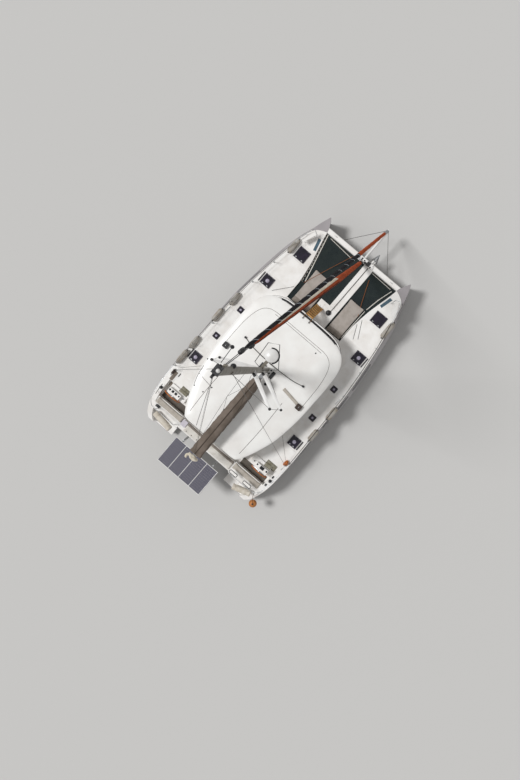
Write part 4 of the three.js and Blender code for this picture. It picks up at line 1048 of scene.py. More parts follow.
# Guard rails with their lines, fenders and rolled covers
TUBE = 0.013  # radius
SEAT = 1.45  # height of the seats in the stern
RAIL_TOP = 2.12
STERN_TOP = 1.92
STANCHIONS = [-3.3, -2.05, -0.8, 0.45, 1.7, 2.95, 4.15]
FENDERS = {
    # x where each starts and ends, and y
    "port": [(3.63, 4.42, 2.69), (0.29, 0.97, 3.165), (-0.75, -0.03, 3.3), (-2.3, -1.62, 3.3),
             (-3.18, -2.39, 3.31)],
    "starboard": [(3.4, 4.3, 2.77), (-0.8, -0.08, 3.29), (-2.0, -1.35, 3.29)],
}
FENDER_R = 0.125
ROLLS = {"port": ((-5.59, 1.66), (-5.46, 2.64)), "starboard": ((-5.69, 2.06), (-5.42, 2.87))}
ROLL_Z = 1.64
STRAPS = (0.15, 0.8)  # shares of a roll's length
BOW_SEAT = [(4.36, 2.43), (4.96, 2.2), (5.02, 2.35), (4.46, 2.68)]
SEAT_LEGS = [(4.45, 2.46), (4.9, 2.27)]


def rail_y(x):
    return deck_edge(x) - 0.07


def bent(path):
    """A path with its corners cut off a short way from each bend."""
    bends = [path[0]]
    for a, b, c in zip(path, path[1:], path[2:]):
        a, b, c = Vector(a), Vector(b), Vector(c)
        bends += [b.lerp(a, min(0.12 / (a - b).length, 0.4)), b.lerp(b.lerp((a + c) / 2, 0.1), 0.5),
                  b.lerp(c, min(0.12 / (c - b).length, 0.4))]
    return bends + [path[-1]]


def rail_form():
    form = Form()
    bow = [(4.15, rail_y(4.15), RAIL_TOP), (4.8, rail_y(4.8) - 0.02, RAIL_TOP), (5.08, 2.38, 2.1),
           (4.98, 2.18, 2.06), (4.82, 2.14, ON_DECK)]
    stern = [(-3.3, rail_y(-3.3), RAIL_TOP), (-4.3, rail_y(-4.3) - 0.03, RAIL_TOP),
             (-5.0, rail_y(-5.0) - 0.04, 2.06), (-5.27, 2.95, STERN_TOP), (-5.3, 1.64, STERN_TOP),
             (-5.3, 1.64, SEAT + CLEAR)]
    for path in (bow, stern):
        form.tube(bent(path), TUBE, 10)
    for x in STANCHIONS + [4.7]:
        y = rail_y(x)
        form.tube([(x, y, ON_DECK), (x, y, RAIL_TOP)], TUBE, 10)
        form.post([(0.04, 0), (0.04, 0.25), (0.02, 0.5), (0.018, 1)], x, y, ON_DECK, DECK + 0.07, 12)
        form.post([(0.016, 0), (0.018, 0.5), (0.008, 1)], x, y, RAIL_TOP - 0.02, RAIL_TOP + 0.02, 12)
    form.tube([(-5.278, 2.7, SEAT + CLEAR), (-5.278, 2.7, STERN_TOP)], TUBE, 10)
    for x, y in SEAT_LEGS:
        form.tube([(x, y, ON_DECK), (x, y, 1.935)], TUBE, 10)
    form.tube([(4.7, rail_y(4.7), 1.945), (4.7, 2.48, 1.945)], 0.011, 10)
    return form


def line_form():
    form = Form()
    for z in (RAIL_TOP, 1.81):
        for a, b in zip(STANCHIONS, STANCHIONS[1:]):
            points = []
            for k in range(7):
                share = k / 6
                sag = 0.012 * 4 * share * (1 - share)
                y = rail_y(a) + (rail_y(b) - rail_y(a)) * share
                points.append((a + (b - a) * share, y, z - sag))
            form.tube(points, 0.008, 8)
    return form


def fender_form(aft, fore, y):
    z = ON_DECK + FENDER_R
    half = [(0.045, 0.05), (0.085, 0.08), (0.11, 0.12), (0.122, 0.17), (FENDER_R, 0.25)]
    rows = half + [(radius, 1 - share) for radius, share in reversed(half)]
    form = Form().turned(rows, (aft, y, z), (fore, y, z), 28)
    reach = 0.05 * (fore - aft)
    for start, end in ((aft, aft + reach), (fore, fore - reach)):
        rows = [(0.02, 0), (0.036, 0.2), (0.036, 0.6), (0.046, 1.05)]
        form.turned(rows, (start, y, z), (end, y, z), 20, 1)
    return form


def roll_ends(word):
    return [Vector((*end, ROLL_Z)) for end in ROLLS[word]]


def roll_form(word):
    """A rolled cover with a free edge, pinched where its straps are."""
    inner, outer = roll_ends(word)
    length = (outer - inner).length
    path, radius = [], []
    for i in range(49):
        share = i / 48
        pinch = sum(math.exp(-((share - strap) * length / 0.05) ** 2) for strap in STRAPS)
        end = 0.02 * math.exp(-min(share, 1 - share) * length / 0.02)
        path.append(inner.lerp(outer, share) + Vector((0, 0, -0.012 * math.sin(math.pi * share))))
        radius.append(0.143 - 0.01 * pinch - end + 0.005 * noise.noise(Vector((share * 9, 3, 0))))

    def fold(turn):
        crease = 0.05 * math.cos(6 * math.pi * turn) + 0.03 * math.cos(10 * math.pi * turn + 1)
        return (1 + crease * 0.6 + 0.1 * turn * (1 - turn),) * 2

    return Form().loft(sweep(path, radius, 40, 0.25, fold))


def roll_straps(word):
    inner, outer = roll_ends(word)
    along = (outer - inner).normalized()
    form = Form()
    for share in STRAPS:
        centre = inner.lerp(outer, share)
        form.ring(centre - Vector((0, 0, 0.01)), along, 0.14, 0.007, 32, 8)
        form.tube([centre + Vector((0.02, 0, 0.13)), (-5.3, centre.y, STERN_TOP)], 0.007, 8)
    return form


def rails():
    for side, word in SIDES:
        node = f"guard_rail_{word}"
        piece(f"rails_{word}", rail_form().mirrored(side), "stainless", replaces=node, angle=60)
        piece(f"rail_lines_{word}", line_form().mirrored(side), "wire", replaces=node, angle=60)
        lashings = Form()
        for number, (aft, fore, y) in enumerate(FENDERS[word]):
            made = piece(f"fender_{word}_{number}", fender_form(aft, fore, y).mirrored(side),
                         ["fender", "black_plastic"], replaces=node, angle=60)
            middle = (aft + fore) / 2
            near = min(STANCHIONS, key=lambda x: abs(x - middle))
            end = min(max(near, aft + 0.06), fore - 0.06)
            top = DECK + 2 * FENDER_R
            rope = [(end, y, top - 0.02), (end, y + 0.01, top + 0.1), (end, rail_y(end), RAIL_TOP)]
            lashings.tube(smooth(rope, 4), 0.007, 8)
        piece(f"fender_lashings_{word}", lashings.mirrored(side), "dark_rope", replaces=node, angle=60)
        form = roll_form(word).mirrored(side)
        roll = piece(f"rolled_cover_{word}", form, "roll", replaces=node, angle=180)
        piece(f"roll_straps_{word}", roll_straps(word).mirrored(side), "roll", replaces=node, angle=60)
        seat = Form().slab(BOW_SEAT, 1.93, 1.96).mirrored(side)
        piece(f"bow_seat_{word}", seat, "gelcoat", replaces=node, bevel=0.008)


rails()


# Padded pieces
def evaluated(made):
    return bpy.data.meshes.new_from_object(made.evaluated_get(bpy.context.evaluated_depsgraph_get()))


def swollen(name, form, voxel, cap, floor=-9.0):
    """The form's mesh blown up like a stuffed cover.

    Its points move no further than cap, and not below floor.
    """
    mesh = bpy.data.meshes.new(name)
    mesh.from_pydata(form.points, [], form.faces)
    soft = bpy.data.objects.new(f"{name}_soft", mesh)
    scene = bpy.context.scene
    scene.collection.objects.link(soft)
    even = soft.modifiers.new("even", "REMESH")
    even.mode = "VOXEL"
    even.voxel_size = voxel
    mesh = evaluated(soft)
    soft.modifiers.clear()
    soft.data = mesh
    cloth = soft.modifiers.new("air", "CLOTH")
    cloth.settings.use_pressure = True
    cloth.settings.uniform_pressure_force = 4
    cloth.settings.effector_weights.gravity = 0
    for step in range(1, 21):
        scene.frame_set(step)
    blown = evaluated(soft)
    scene.frame_set(1)
    for before, after in zip(mesh.vertices, blown.vertices):
        move = after.co - before.co
        if move.length > cap:
            after.co = before.co + move * (cap / move.length)
        after.co.z = max(after.co.z, floor)
    mesh = blown
    bpy.data.objects.remove(soft)
    return mesh


def fit(mesh, low, high):
    """Stretches a mesh to fill a box."""
    for axis in range(3):
        places = [vertex.co[axis] for vertex in mesh.vertices]
        start = min(places)
        scale = (high[axis] - low[axis]) / (max(places) - start)
        for vertex in mesh.vertices:
            vertex.co[axis] = low[axis] + (vertex.co[axis] - start) * scale


def cushion_form(x0, x1, y0, y1, z0, z1, pull=0.012):
    """A pad whose sides pull in between its corners."""
    form = Form()
    rows = [(0.0, 0.014), (0.15, 0.003), (0.5, 0.0), (0.82, 0.004), (1.0, 0.018)]
    cx, cy = (x0 + x1) / 2, (y0 + y1) / 2
    rings = []
    for up, shrink in rows:
        outline = rounded(x0 + shrink, x1 - shrink, y0 + shrink, y1 - shrink, 0.05, 4)
        fine = []
        for a, b in zip(outline, outline[1:] + outline[:1]):
            steps = max(1, round((Vector(b) - Vector(a)).length / 0.12))
            fine += [Vector(a).lerp(Vector(b), k / steps) for k in range(steps)]
        ring = []
        for p in fine:
            u = (p.x - cx) / (x1 - x0) * 2
            v = (p.y - cy) / (y1 - y0) * 2
            ring.append((p.x - pull * u * (1 - v * v), p.y - pull * v * (1 - u * u), z0 + (z1 - z0) * up))
        rings.append(ring)
    return form.loft(rings)


def sew(mesh, seams, top):
    """Presses a channel into the upper side along each seam, given as axis number and place."""
    for vertex in mesh.vertices:
        if vertex.co.z > top - 0.05:
            for axis, place in seams:
                away = (vertex.co[axis] - place) / 0.012
                vertex.co.z -= 0.014 * math.exp(-away * away)


PADS = [
    # name, node, paint, x where a strip of painted shade starts and ends, box, seams as axis and place,
    # voxel size
    ("sun_pad_port_cover", "sun_pad_port", "pad", (2.2, 2.44), (2.2, 3.88, 0.37, 1.285, 1.4404, 1.53),
     [(0, 2.45)], 0.016),
    ("sun_pad_starboard_cover", "sun_pad_starboard", "pad", (2.2, 2.44),
     (2.2, 3.88, -1.425, -0.69, 1.4404, 1.53), [(0, 2.45)], 0.016),
    ("helm_cushion_port", "helm_seat_port", "pad_warm", None, (-5.11, -4.815, 1.515, 2.955, 1.4504, 1.54),
     [(1, 2.24)], 0.011),
    ("helm_cushion_starboard", "helm_seat_starboard", "pad_warm", None,
     (-5.11, -4.815, -2.955, -1.515, 1.4504, 1.54), [(1, -2.24)], 0.011),
    ("aft_bench_pad", "aft_bench_cushion", "pad_white", (-4.97, -4.85),
     (-5.29, -4.85, -1.45, 1.2, 1.4304, 1.52), [(0, -4.975), (1, 0.32), (1, -0.57)], 0.014),
]
SWELL = 0.022  # how far the stuffing may push a point
SHRINK = 0.014  # how much smaller a pad is before it is stuffed


def pads():
    for name, node, paint, dark, (x0, x1, y0, y1, z0, z1), seams, voxel in PADS:
        form = cushion_form(x0 + SHRINK, x1 - SHRINK, y0 + SHRINK, y1 - SHRINK, z0 + 0.004, z1 - SHRINK)
        mesh = swollen(name, form, voxel, SWELL, z0)
        fit(mesh, (x0, y0, z0), (x1, y1, z1))
        sew(mesh, seams, z1)
        # the strip is painted shade: a sun pad's inclined headrest, and the back of the aft bench pad
        if dark:
            for face in mesh.polygons:
                face.material_index = int(dark[0] < face.center.x < dark[1])
        made = finished(name, mesh, [paint, "pad_dark"] if dark else [paint], "root", angle=180, levels=1)
        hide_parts(node)


pads()


# Helms
SCREENS = {
    # x, y, half length, half width, round
    "port": [(-4.22, 2.77, 0.05, 0.05, True), (-4.21, 2.61, 0.055, 0.055, False),
             (-4.21, 2.44, 0.055, 0.055, False), (-4.21, 2.27, 0.04, 0.04, True)],
    "starboard": [(-4.2, 2.27, 0.04, 0.04, True), (-4.21, 2.53, 0.1, 0.07, False),
                  (-4.2, 2.78, 0.045, 0.045, True)],
}
POD_TOP = 1.8
WHEEL = (-4.43, 2.52, 1.56)
MAT = (-4.79, -4.46, 1.64, 2.99)  # x and y where it starts and ends


def helm_form(word):
    form = Form()
    base = POD_TOP - 0.004
    for x, y, long, wide, is_round in SCREENS[word]:
        if is_round:
            form.post([(long, 0), (long, 0.6), (long * 0.85, 1)], x, y, base, POD_TOP + 0.018, 24, 1)
            form.post(rod(long * 0.8), x, y, POD_TOP, POD_TOP + 0.02, 24, 0)
        else:
            form.slab(rounded(x - wide, x + wide, y - long, y + long, 0.012), base, POD_TOP + 0.02, 1)
            wide, long = wide * 0.88, long * 0.9
            form.slab(rounded(x - wide, x + wide, y - long, y + long, 0.008), POD_TOP, POD_TOP + 0.023, 0)
    form.post([(0.03, 0), (0.03, 0.5), (0.012, 0.7), (0.012, 1)], -4.2, 2.08, 1.6, 1.66, 16, 1)
    form.tube([(-4.2, 2.08, 1.65), (-4.17, 2.08, 1.76)], 0.01, 8, 2)
    return form


def helms():
    for side, word in SIDES:
        def off_rim(p):
            """0 on the wheel's leather rim, 1 on its spokes and hub."""
            return int(math.hypot(p.y - side * WHEEL[1], p.z - WHEEL[2]) < 0.375)

        paints = ["screen", "black_plastic", "stainless"]
        piece(f"helm_screens_{word}", helm_form(word).mirrored(side), paints, bevel=0.002)
        body = f"wheel_{word}_body"
        skin(f"steering_wheel_{word}", ["leather", "stainless"], body, angle=50, choose=off_rim)
        grip = Form().ring((WHEEL[0], side * WHEEL[1], WHEEL[2]), (1, 0, 0), 0.4, 0.024, 72, 12)
        piece(f"wheel_grip_{word}", grip, "leather", body, angle=60)
        skin(f"winch_{word}", "black_plastic", angle=40)
    both("helm_mat_{}", lambda: Form().slab(rounded(*MAT, 0.04), 1.0504, 1.062), "well_floor", bevel=0.003)


helms()


# Mast, boom and sails
ZIP_END = 0.05  # how far the zip ends before the bag does
ZIP_STEP = 0.06
SAIL_SIDES = 32


def furling_gear(form, foot, head, top, drum, fitting):
    """The drum below a rolled sail, and the swivel and stay above it."""
    rows = [(0.02, 0), (drum * 0.8, 0), (drum, 0.15), (drum, 0.3), (drum * 0.6, 0.4), (drum * 0.6, 0.6),
            (drum, 0.7), (drum, 0.85), (drum * 0.5, 1)]
    form.turned(rows, foot, foot.lerp(head, 0.021), 24, fitting - 1)
    rows = [(0.03, 0), (0.06, 0.1), (0.065, 0.45), (0.04, 0.5), (0.065, 0.55), (0.06, 0.9), (0.02, 1)]
    form.turned(rows, foot.lerp(head, 0.986), foot.lerp(head, 1.003), 20, fitting)
    form.tube([foot.lerp(head, 0.99), top], 0.01, 8, fitting)


def furled(name, node, foot, head, top, radii, widest, paints, plan, pitch):
    """A rolled sail. plan gives the paint's number at a distance up it and a share of a turn."""
    low, wide, narrow = radii
    foot, head = Vector(foot), Vector(head)
    length = (head - foot).length
    profile = [(0.0, low), (widest, wide), (0.96, narrow), (1.0, 0.02)]
    start = 0.02 * length
    steps = round((length - start) / 0.06)
    step = (length - start) / steps
    path, radius = [], []
    for i in range(steps + 1):
        share = 0.02 + 0.98 * i / steps
        path.append(foot.lerp(head, share))
        wave = 1 + 0.05 * noise.noise(Vector((share * length * 1.3, 0, 7)))
        radius.append(at(profile, share, 1) * wave)
    twist = 1 / pitch if pitch else 0.0
    rings = sweep(path, radius, SAIL_SIDES, twist, lambda turn: (0.9 + 0.12 * turn,) * 2)
    for r, (ring, centre) in enumerate(zip(rings, path)):
        for k, point in enumerate(ring):
            slant = 2 * math.pi * (3 * k / SAIL_SIDES + 0.9 * r * step)
            fold = 0.03 * math.sin(slant) + 0.02 * math.sin(2.3 * slant + 1)
            ring[k] = centre + (point - centre) * (1 + fold)
    form = Form().loft(rings, 0)
    numbers = [plan(start + r * step, k / SAIL_SIDES, (k / SAIL_SIDES + r * step * twist) % 1, length)
               for r in range(steps) for k in range(SAIL_SIDES)]
    form.numbers[:len(numbers)] = numbers
    furling_gear(form, foot, head, top, low * 1.1, len(paints) - 1)
    piece(name, form, paints, replaces=node, angle=50)


def genoa_plan(up, turn, place, length):
    """Sun strip over the whole roll, with the cloth of the leech showing to port half way up, and a band of
    painted shade down the starboard side, away from the sun.
    """
    share = up / length
    if 0.33 < share < 0.84 and (place < 0.25 or place > 0.73):
        return 1
    # number 3 is the band of painted shade on the side away from the sun
    return 3 if 0.4 < place < (0.6 if share > 0.33 else 0.54) else 0


def code_plan(up, turn, place, length):
    """Sun strip low down, then dark cloth with the edges of the wrap pale down the roll's sunlit port side,
    as a painted highlight.
    """
    if up < 0.6:
        return 3
    if up < 5.3:
        return 1
    # number 2 is a painted highlight down the roll's port side, towards the sun
    return 2 if turn < 0.035 else 0


def sails():
    furled("genoa_roll", "genoa_furled", (5.33, 0, 1.6423), (0.04, 0, 16.14), (-0.548, 0, 17.75),
           (0.08, 0.125, 0.05), 0.3,
           ["strip", "sailcloth", "black_sail", "strip_dark", "black_plastic", "black_plastic"],
           genoa_plan, 0)
    furled("code_sail_roll", "code_sail_furled", (7.06, 0, 1.625), (-0.17, 0, 17.23), (-0.548, 0, 18.05),
           (0.066, 0.079, 0.052), 0.38, ["black_sail", "strip", "pale_edge", "alloy", "black_plastic"],
           code_plan, 0.9)


BOOM_LINE = (0.0092, 3.52)  # slope of the boom's top, and its height at the gooseneck
RADAR = (-0.06, 7.0)  # x and z of the dome's foot
SPREADERS = [(5.95, -1.42, 1.54, 6.05), (9.85, -1.35, 1.26, 9.95)]  # root's z, and x, y and z of the tip


def mast_paint(p):
    """Number of the paint at a place on the mast: alloy, white arms and dome, black head, and black round
    the dome's foot as painted shade.
    """
    if p.z > 18.45:
        return 2
    if abs(p.x - RADAR[0]) < 0.28 and RADAR[1] - 0.01 < p.z < 7.3:
        # the lowest band of the dome is black: painted shade under its rim
        return 2 if p.z < RADAR[1] + 0.05 else 1
    return int(abs(p.y) > 0.13 and p.z > 4)


def radar_shade_and_guard(form):
    """The dark hoop on the dome's side towards the camera's right, away from the sun: painted shade. Also
    the wire guard round it.
    """
    radius = 0.285
    middle = math.atan2(CAMERA_RIGHT[1], CAMERA_RIGHT[0])
    angles = [middle + math.radians(a) for a in range(-90, 91, 10)]
    # half hoop of painted shade on the dome's shadow side
    form.tube([(RADAR[0] + radius * math.cos(a), radius * math.sin(a), 7.03) for a in angles], 0.024, 10, 1)
    guard = [(-0.67, 0.06), (-0.62, 0.34), (0.23, 0.41), (0.44, 0.04), (-0.29, -0.52), (-0.7, -0.06)]
    form.tube([(x, y, RADAR[1]) for x, y in guard], 0.014, 8, 1)


def mast_gear():
    form = Form()
    radar_shade_and_guard(form)
    for root, x, y, z in SPREADERS:
        for side, _ in SIDES:
            tip = [(0.02, 0), (0.05, 0.1), (0.05, 0.9), (0.02, 1)]
            form.post(tip, x, side * y, z - 0.05, z + 0.05, 14, 1)
            form.turned([(0.05, 0), (0.06, 0.3), (0.05, 1)], (-0.8, side * 0.07, root - 0.02),
                        (-0.85, side * 0.2, root + 0.01), 12, 1)
    form.tube([(-0.54, 0.04, 18.6), (-0.54, 0.04, 18.66), (-0.12, 0.06, 18.75)], 0.008, 8, 1)
    form.post([(0.01, 0), (0.045, 0.3), (0.045, 0.7), (0.01, 1)], -0.12, 0.06, 18.69, 18.8, 16, 1)
    form.post([(0.05, 0), (0.05, 0.5), (0.035, 0.8), (0.01, 1)], -0.72, -0.03, 18.655, 18.75, 20, 0)
    form.tube([(-0.8, 0.05, 18.655), (-0.8, 0.05, 19.0)], 0.005, 6, 1)
    for x in (-0.62, -0.9):
        form.turned(rod(0.05), (x, -0.03, 18.62), (x, 0.03, 18.62), 16, 1)
    form.post([(0.02, 0), (0.07, 0.2), (0.07, 0.8), (0.02, 1)], -0.6, 0, 16.1, 16.35, 12, 1)
    piece("mast_gear", form, ["white_alloy", "black_plastic"], angle=50)
    foot = Form()
    for side, _ in SIDES:
        for x in (-0.95, -0.8, -0.65):
            foot.post([(0.03, 0), (0.035, 0.5), (0.03, 1)], x, side * 0.15, 3.08, 3.14, 12)
    for side, _ in SIDES:
        y = side * 0.3
        foot.slab(rounded(-0.95, -0.62, y - 0.07, y + 0.07, 0.02), 2.99, 3.06)
        foot.post([(0.06, 0), (0.06, 0.3), (0.045, 0.5), (0.055, 1)], -1.25, side * 0.32, 2.99, 3.11, 20)
    piece("mast_foot_gear", foot, "black_plastic", bevel=0.004, angle=40)


LIFT = ((-0.88, 0, 18.55), (-5.36, 0, 3.5))  # ends of the topping lift
JACKS_TOP = (-0.86, 10.4)  # x and z
JACK_ENDS = [(-1.9, 3.95), (-3.1, 3.8), (-4.4, 3.65)]  # x and z near the bag's side
SHEET_X = -4.42


def rigging(bag_tree):
    wires = Form()
    for side, _ in SIDES:
        ends = [(-0.78, side * 0.05, HOUNDS), (-1.35, side * 1.26, 9.95), (-1.42, side * 1.54, 6.05),
                (-0.79, side * 0.09, 3.32)]
        for a, b in zip(ends, ends[1:]):
            wires.tube([a, b], 0.007, 8)
    piece("diamond_wires", wires, "wire", angle=60)
    lift = Form().tube(LIFT, 0.006, 8)
    lift.tube([(LIFT[0][0], 0.02, LIFT[0][2]), (LIFT[1][0], 0.04, LIFT[1][2])], 0.004, 6)
    crossing("topping_lift", lift, *LIFT)
    top_x, top_z = JACKS_TOP
    for side, word in SIDES:
        knot = (-2.3, side * 0.32, 6.6)
        jacks = Form().tube([(top_x, side * 0.1, top_z), knot], 0.006, 8)
        for x, z in JACK_ENDS:
            hold, out, _, _ = bag_tree.find_nearest(Vector((x, side * 0.4, z)))
            jacks.tube([knot, hold + out * 0.008], 0.006, 8)
            jacks.turned(rod(0.03), hold - out * 0.01, hold + out * 0.008, 14)
        crossing(f"lazy_jacks_{word}", jacks, (top_x, 0, top_z), (-2.6, 0, 4.6))
    sheet = Form()
    for y in (-0.22, 0.22):
        sheet.tube([(SHEET_X, y, 3.0), (SHEET_X, y * 0.2, 3.33)], 0.007, 8)
    crossing("main_sheet", sheet, (SHEET_X, 0, 3.0), (SHEET_X, 0, 3.33))


def crossing(name, form, start, end):
    """Lines from the fixed rig to the boom."""
    made = piece(name, form, "dark_rope", None, angle=60)
    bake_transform(made)


def bag():
    """The sail's cover: a filled cover with a zip along its top and folds down its sides.

    Gives back a search tree of its faces.
    """
    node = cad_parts["sail_bag"]
    faces = [list(f.vertices) for f in node.data.polygons]
    form = Form().add([v.co.copy() for v in node.data.vertices], faces)
    mesh = swollen("sail_bag_cover", form, 0.03, 0.02)
    low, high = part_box("sail_bag")
    for vertex in mesh.vertices:
        p = vertex.co
        down = min(max((4.25 - p.z) / 0.6, 0), 1)
        slant = p.x * 2.1 + p.z * 1.4 + noise.noise(Vector((p.x * 0.8, p.y, 4))) * 1.2
        fold = math.sin(2 * math.pi * slant) * 0.5 + math.sin(2 * math.pi * slant * 2.3 + 1) * 0.25
        side = 1 if p.y > 0 else -1
        p.y -= side * (0.012 + 0.014 * fold) * down * min(abs(p.y) / 0.06, 1)
        p.z -= 0.02 * math.exp(-(p.y / 0.03) ** 2) if vertex.normal.z > 0.3 else 0
    fit(mesh, low, high)
    for face in mesh.polygons:
        x, _, z = face.center
        hem = z < BOOM_LINE[1] + BOOM_LINE[0] * (x - GOOSENECK[0]) + 0.06
        face.material_index = int(hem)
    made = finished("sail_bag_cover", mesh, ["canvas", "canvas_edge"], "boom_body", angle=180, levels=1)
    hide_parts("sail_bag")
    tree = BVHTree.FromPolygons([v.co for v in mesh.vertices], [f.vertices for f in mesh.polygons])
    count = int((high.x - low.x - 2 * ZIP_END) / ZIP_STEP)
    places = [low.x + ZIP_END + ZIP_STEP * k for k in range(count + 1)]
    zip_line = Form().ribbon([(x, 0, height_at(tree, x, 0) + 0.004) for x in places], 0.045, 0.016)
    piece("sail_bag_zip", zip_line, "canvas_edge", "boom_body", angle=60)
    return tree


def crumpled(path, radius, folds):
    """A bundle of cloth round a path, with folds along it and lumps."""
    path = smooth(path, 6)
    share = [i / (len(path) - 1) for i in range(len(path))]
    rings = sweep(path, [max(radius * math.sqrt(math.sin(math.pi * t)), 0.004) for t in share], 56)
    for r, (ring, centre) in enumerate(zip(rings, path)):
        for k, point in enumerate(ring):
            turn = 2 * math.pi * k / len(ring)
            crease = math.sin(folds * turn + 5 * share[r]) * 0.1
            crease += math.sin(folds * 1.7 * turn - 8 * share[r]) * 0.06
            lump = noise.noise(point * 9) * 0.35
            ring[k] = centre + (point - centre) * (1 + crease + lump)
    return Form().loft(rings)


def clew_bundle():
    """Loose sailcloth that hangs out of the bag's end, behind the boom."""
    path = [(-5.46, 0.24, 3.44), (-5.5, 0.1, 3.5), (-5.53, -0.08, 3.47), (-5.48, -0.26, 3.42)]
    lumps = crumpled(path, 0.1, 5)
    tail = crumpled([(-5.5, 0.22, 3.36), (-5.62, 0.26, 3.4), (-5.74, 0.22, 3.34)], 0.05, 4)
    piece("clew_bundle", lumps, "sailcloth", "boom_body", angle=180)
    piece("clew_tail", tail, "sailcloth", "boom_body", angle=180)


def boom_gear():
    form = Form()
    for k in range(4):
        form.ring((-5.46 + 0.03 * k, 0.03 - 0.02 * k, 3.42), (0.6, 0.3, 1), 0.07 + 0.01 * k, 0.011, 24, 8, 0)
    for side, _ in SIDES:
        form.turned(rod(0.035), (-5.38, side * 0.07, 3.4), (-5.38, side * 0.1, 3.4), 14, 1)
    piece("boom_end_gear", form, ["white_rope", "black_plastic"], "boom_body", angle=60)


def spars():
    skin("mast", ["mast_gray", "white_alloy", "black_plastic"], bevel=0.002, angle=35, choose=mast_paint)
    skin("boom", "alloy", "boom_body", bevel=0.012)
    for _, word in SIDES:
        skin(f"cap_shroud_{word}", "wire", angle=50)
    mast_gear()
    rigging(bag())
    clew_bundle()
    boom_gear()


sails()
spars()


# Foredeck gear
NET_EDGE = [(5.33, 1.955), (4.5, 1.735), (3.87, 1.6), (3.1, 1.47)]
NET_BANDS = [
    # width, height, paint, and the points in plan
    (0.04, 0.01, 1, [(5.34, 1.86), (3.19, 1.33)]),
    (0.035, 0.012, 0, [(5.345, 1.69), (5.25, 0.4)]),
    (0.025, 0.01, 1, [(5.3, 1.69), (5.21, 0.4)]),
    (0.035, 0.012, 0, [(5.345, -0.64), (5.31, -1.75)]),
    (0.025, 0.01, 1, [(5.3, -0.66), (5.27, -1.72)]),
    (0.035, 0.01, 1, [(5.24, -1.81), (4.6, -1.62), (3.95, -1.5)]),
    (0.03, 0.01, 1, [(3.85, -1.49), (2.3, -1.46)]),
]
DECK_ROPES = ([(3.48, -1.65), (2.74, -2.05)], [(3.21, -1.6), (2.61, -1.89)], [(2.7, 1.55), (1.95, 2.18)])
BEAM_BUTTONS = ((5.5, -0.06), (5.44, 0.05), (5.53, 0.07), (5.42, -0.43))
CHAIN = ((2.92, -0.37, 1.52), (5.36, -0.39, 1.475))
PLATFORM_LIDS = ((2.76, 3.03, 0.02, 0.29), (2.3, 2.66, -0.2, 0.22))


def on_nets(points, z=1.452):
    return [(x, y, z) for x, y in points]


def net_lacing():
    lacing = Form()
    line = smooth(on_nets(NET_EDGE), 10)
    lacing.ribbon(line, 0.075, 0.012, 0)
    for k, (a, b) in enumerate(zip(line, line[1:])):
        way = Vector((0.01, 0.05 if k % 2 else -0.05, 0.008))
        lacing.tube([a + way, b + Vector((0.0, -way.y, 0.008))], 0.007, 6, 1)
    for width, height, paint, points in NET_BANDS:
        lacing.ribbon(on_nets(points), width, height, paint)
    piece("net_lacing", lacing, ["dark_rope", "white_rope"], angle=60)


def foredeck_lines():
    guys = Form()
    for side, _ in SIDES:
        guys.tube([(7.1, side * 0.03, 1.47), (5.06, side * 1.72, 1.05)], 0.009, 8)
        guys.turned(rod(0.02), (5.1, side * 1.69, 1.06), (5.03, side * 1.74, 1.045), 10)
    guys.tube([(7.0, 0.0, 1.44), (5.72, 0.0, 1.3)], 0.008, 8)
    piece("sprit_guys", guys, "wire", angle=60)
    ropes = Form()
    ropes.tube([(5.3, 0.45, 1.52), (4.2, 0.9, 1.55), (3.1, 1.33, 1.56)], 0.008, 8, 0)
    ropes.tube([(5.0, -0.75, 1.46), (4.2, -1.08, 1.5), (3.5, -1.4, 1.51)], 0.009, 8, 0)
    for points in DECK_ROPES:
        ropes.tube([(x, y, DECK + 0.012) for x, y in points], 0.008, 8, 1)
    piece("foredeck_ropes", ropes, ["brown_rope", "dark_rope"], angle=60)


def crossbeam_fittings():
    form = Form()
    top = BEAM_TOP
    form.post([(0.05, 0), (0.06, 0.3), (0.035, 0.6), (0.05, 1)], 5.45, 0.13, top, 1.6, 20, 0)
    form.post([(0.045, 0), (0.05, 0.3), (0.03, 0.6), (0.045, 1)], 5.44, -0.14, top, 1.58, 20, 1)
    form.slab(rounded(5.39, 5.59, -0.36, -0.2, 0.02), top, 1.55, 1)
    form.slab(rounded(5.4, 5.6, 0.2, 0.34, 0.02), top, 1.53, 0)
    for x, y in BEAM_BUTTONS:
        form.post([(0.03, 0), (0.034, 0.4), (0.02, 1)], x, y, top, 1.545, 14, 1)
    bow = smooth([(5.42, -0.56, top), (5.44, -0.53, 1.58), (5.52, -0.5, 1.58), (5.56, -0.48, top)], 4)
    form.tube(bow, 0.012, 8, 0)
    for side, _ in SIDES:
        bow = [(5.5, side * y, z) for y, z in ((1.5, 1.49), (1.52, 1.56), (1.6, 1.56), (1.62, 1.49))]
        form.tube(smooth(bow, 4), 0.01, 8, 0)
    piece("crossbeam_fittings", form, ["stainless", "black_plastic"], bevel=0.004, angle=40)


def chain_and_lids():
    chain = Form()
    start, end = (Vector(p) for p in CHAIN)
    count = round((end - start).length / 0.042)
    for k in range(count):
        lean = (0, 1, 0.3) if k % 2 else (0, 0.3, 1)
        chain.ring(start.lerp(end, k / count), lean, 0.02, 0.006, 10, 6)
    piece("anchor_chain", chain, "wire", angle=60)
    lids = Form()
    for place in PLATFORM_LIDS:
        lids.slab(rounded(*place, 0.03), ON_DECK, DECK + 0.012)
    lids.post(rod(0.02), 2.81, 0.155, DECK + 0.01, DECK + 0.018, 16, 1)
    piece("platform_lids", lids, ["gelcoat", "stainless"], bevel=0.004)


net_lacing()
foredeck_lines()
crossbeam_fittings()
chain_and_lids()


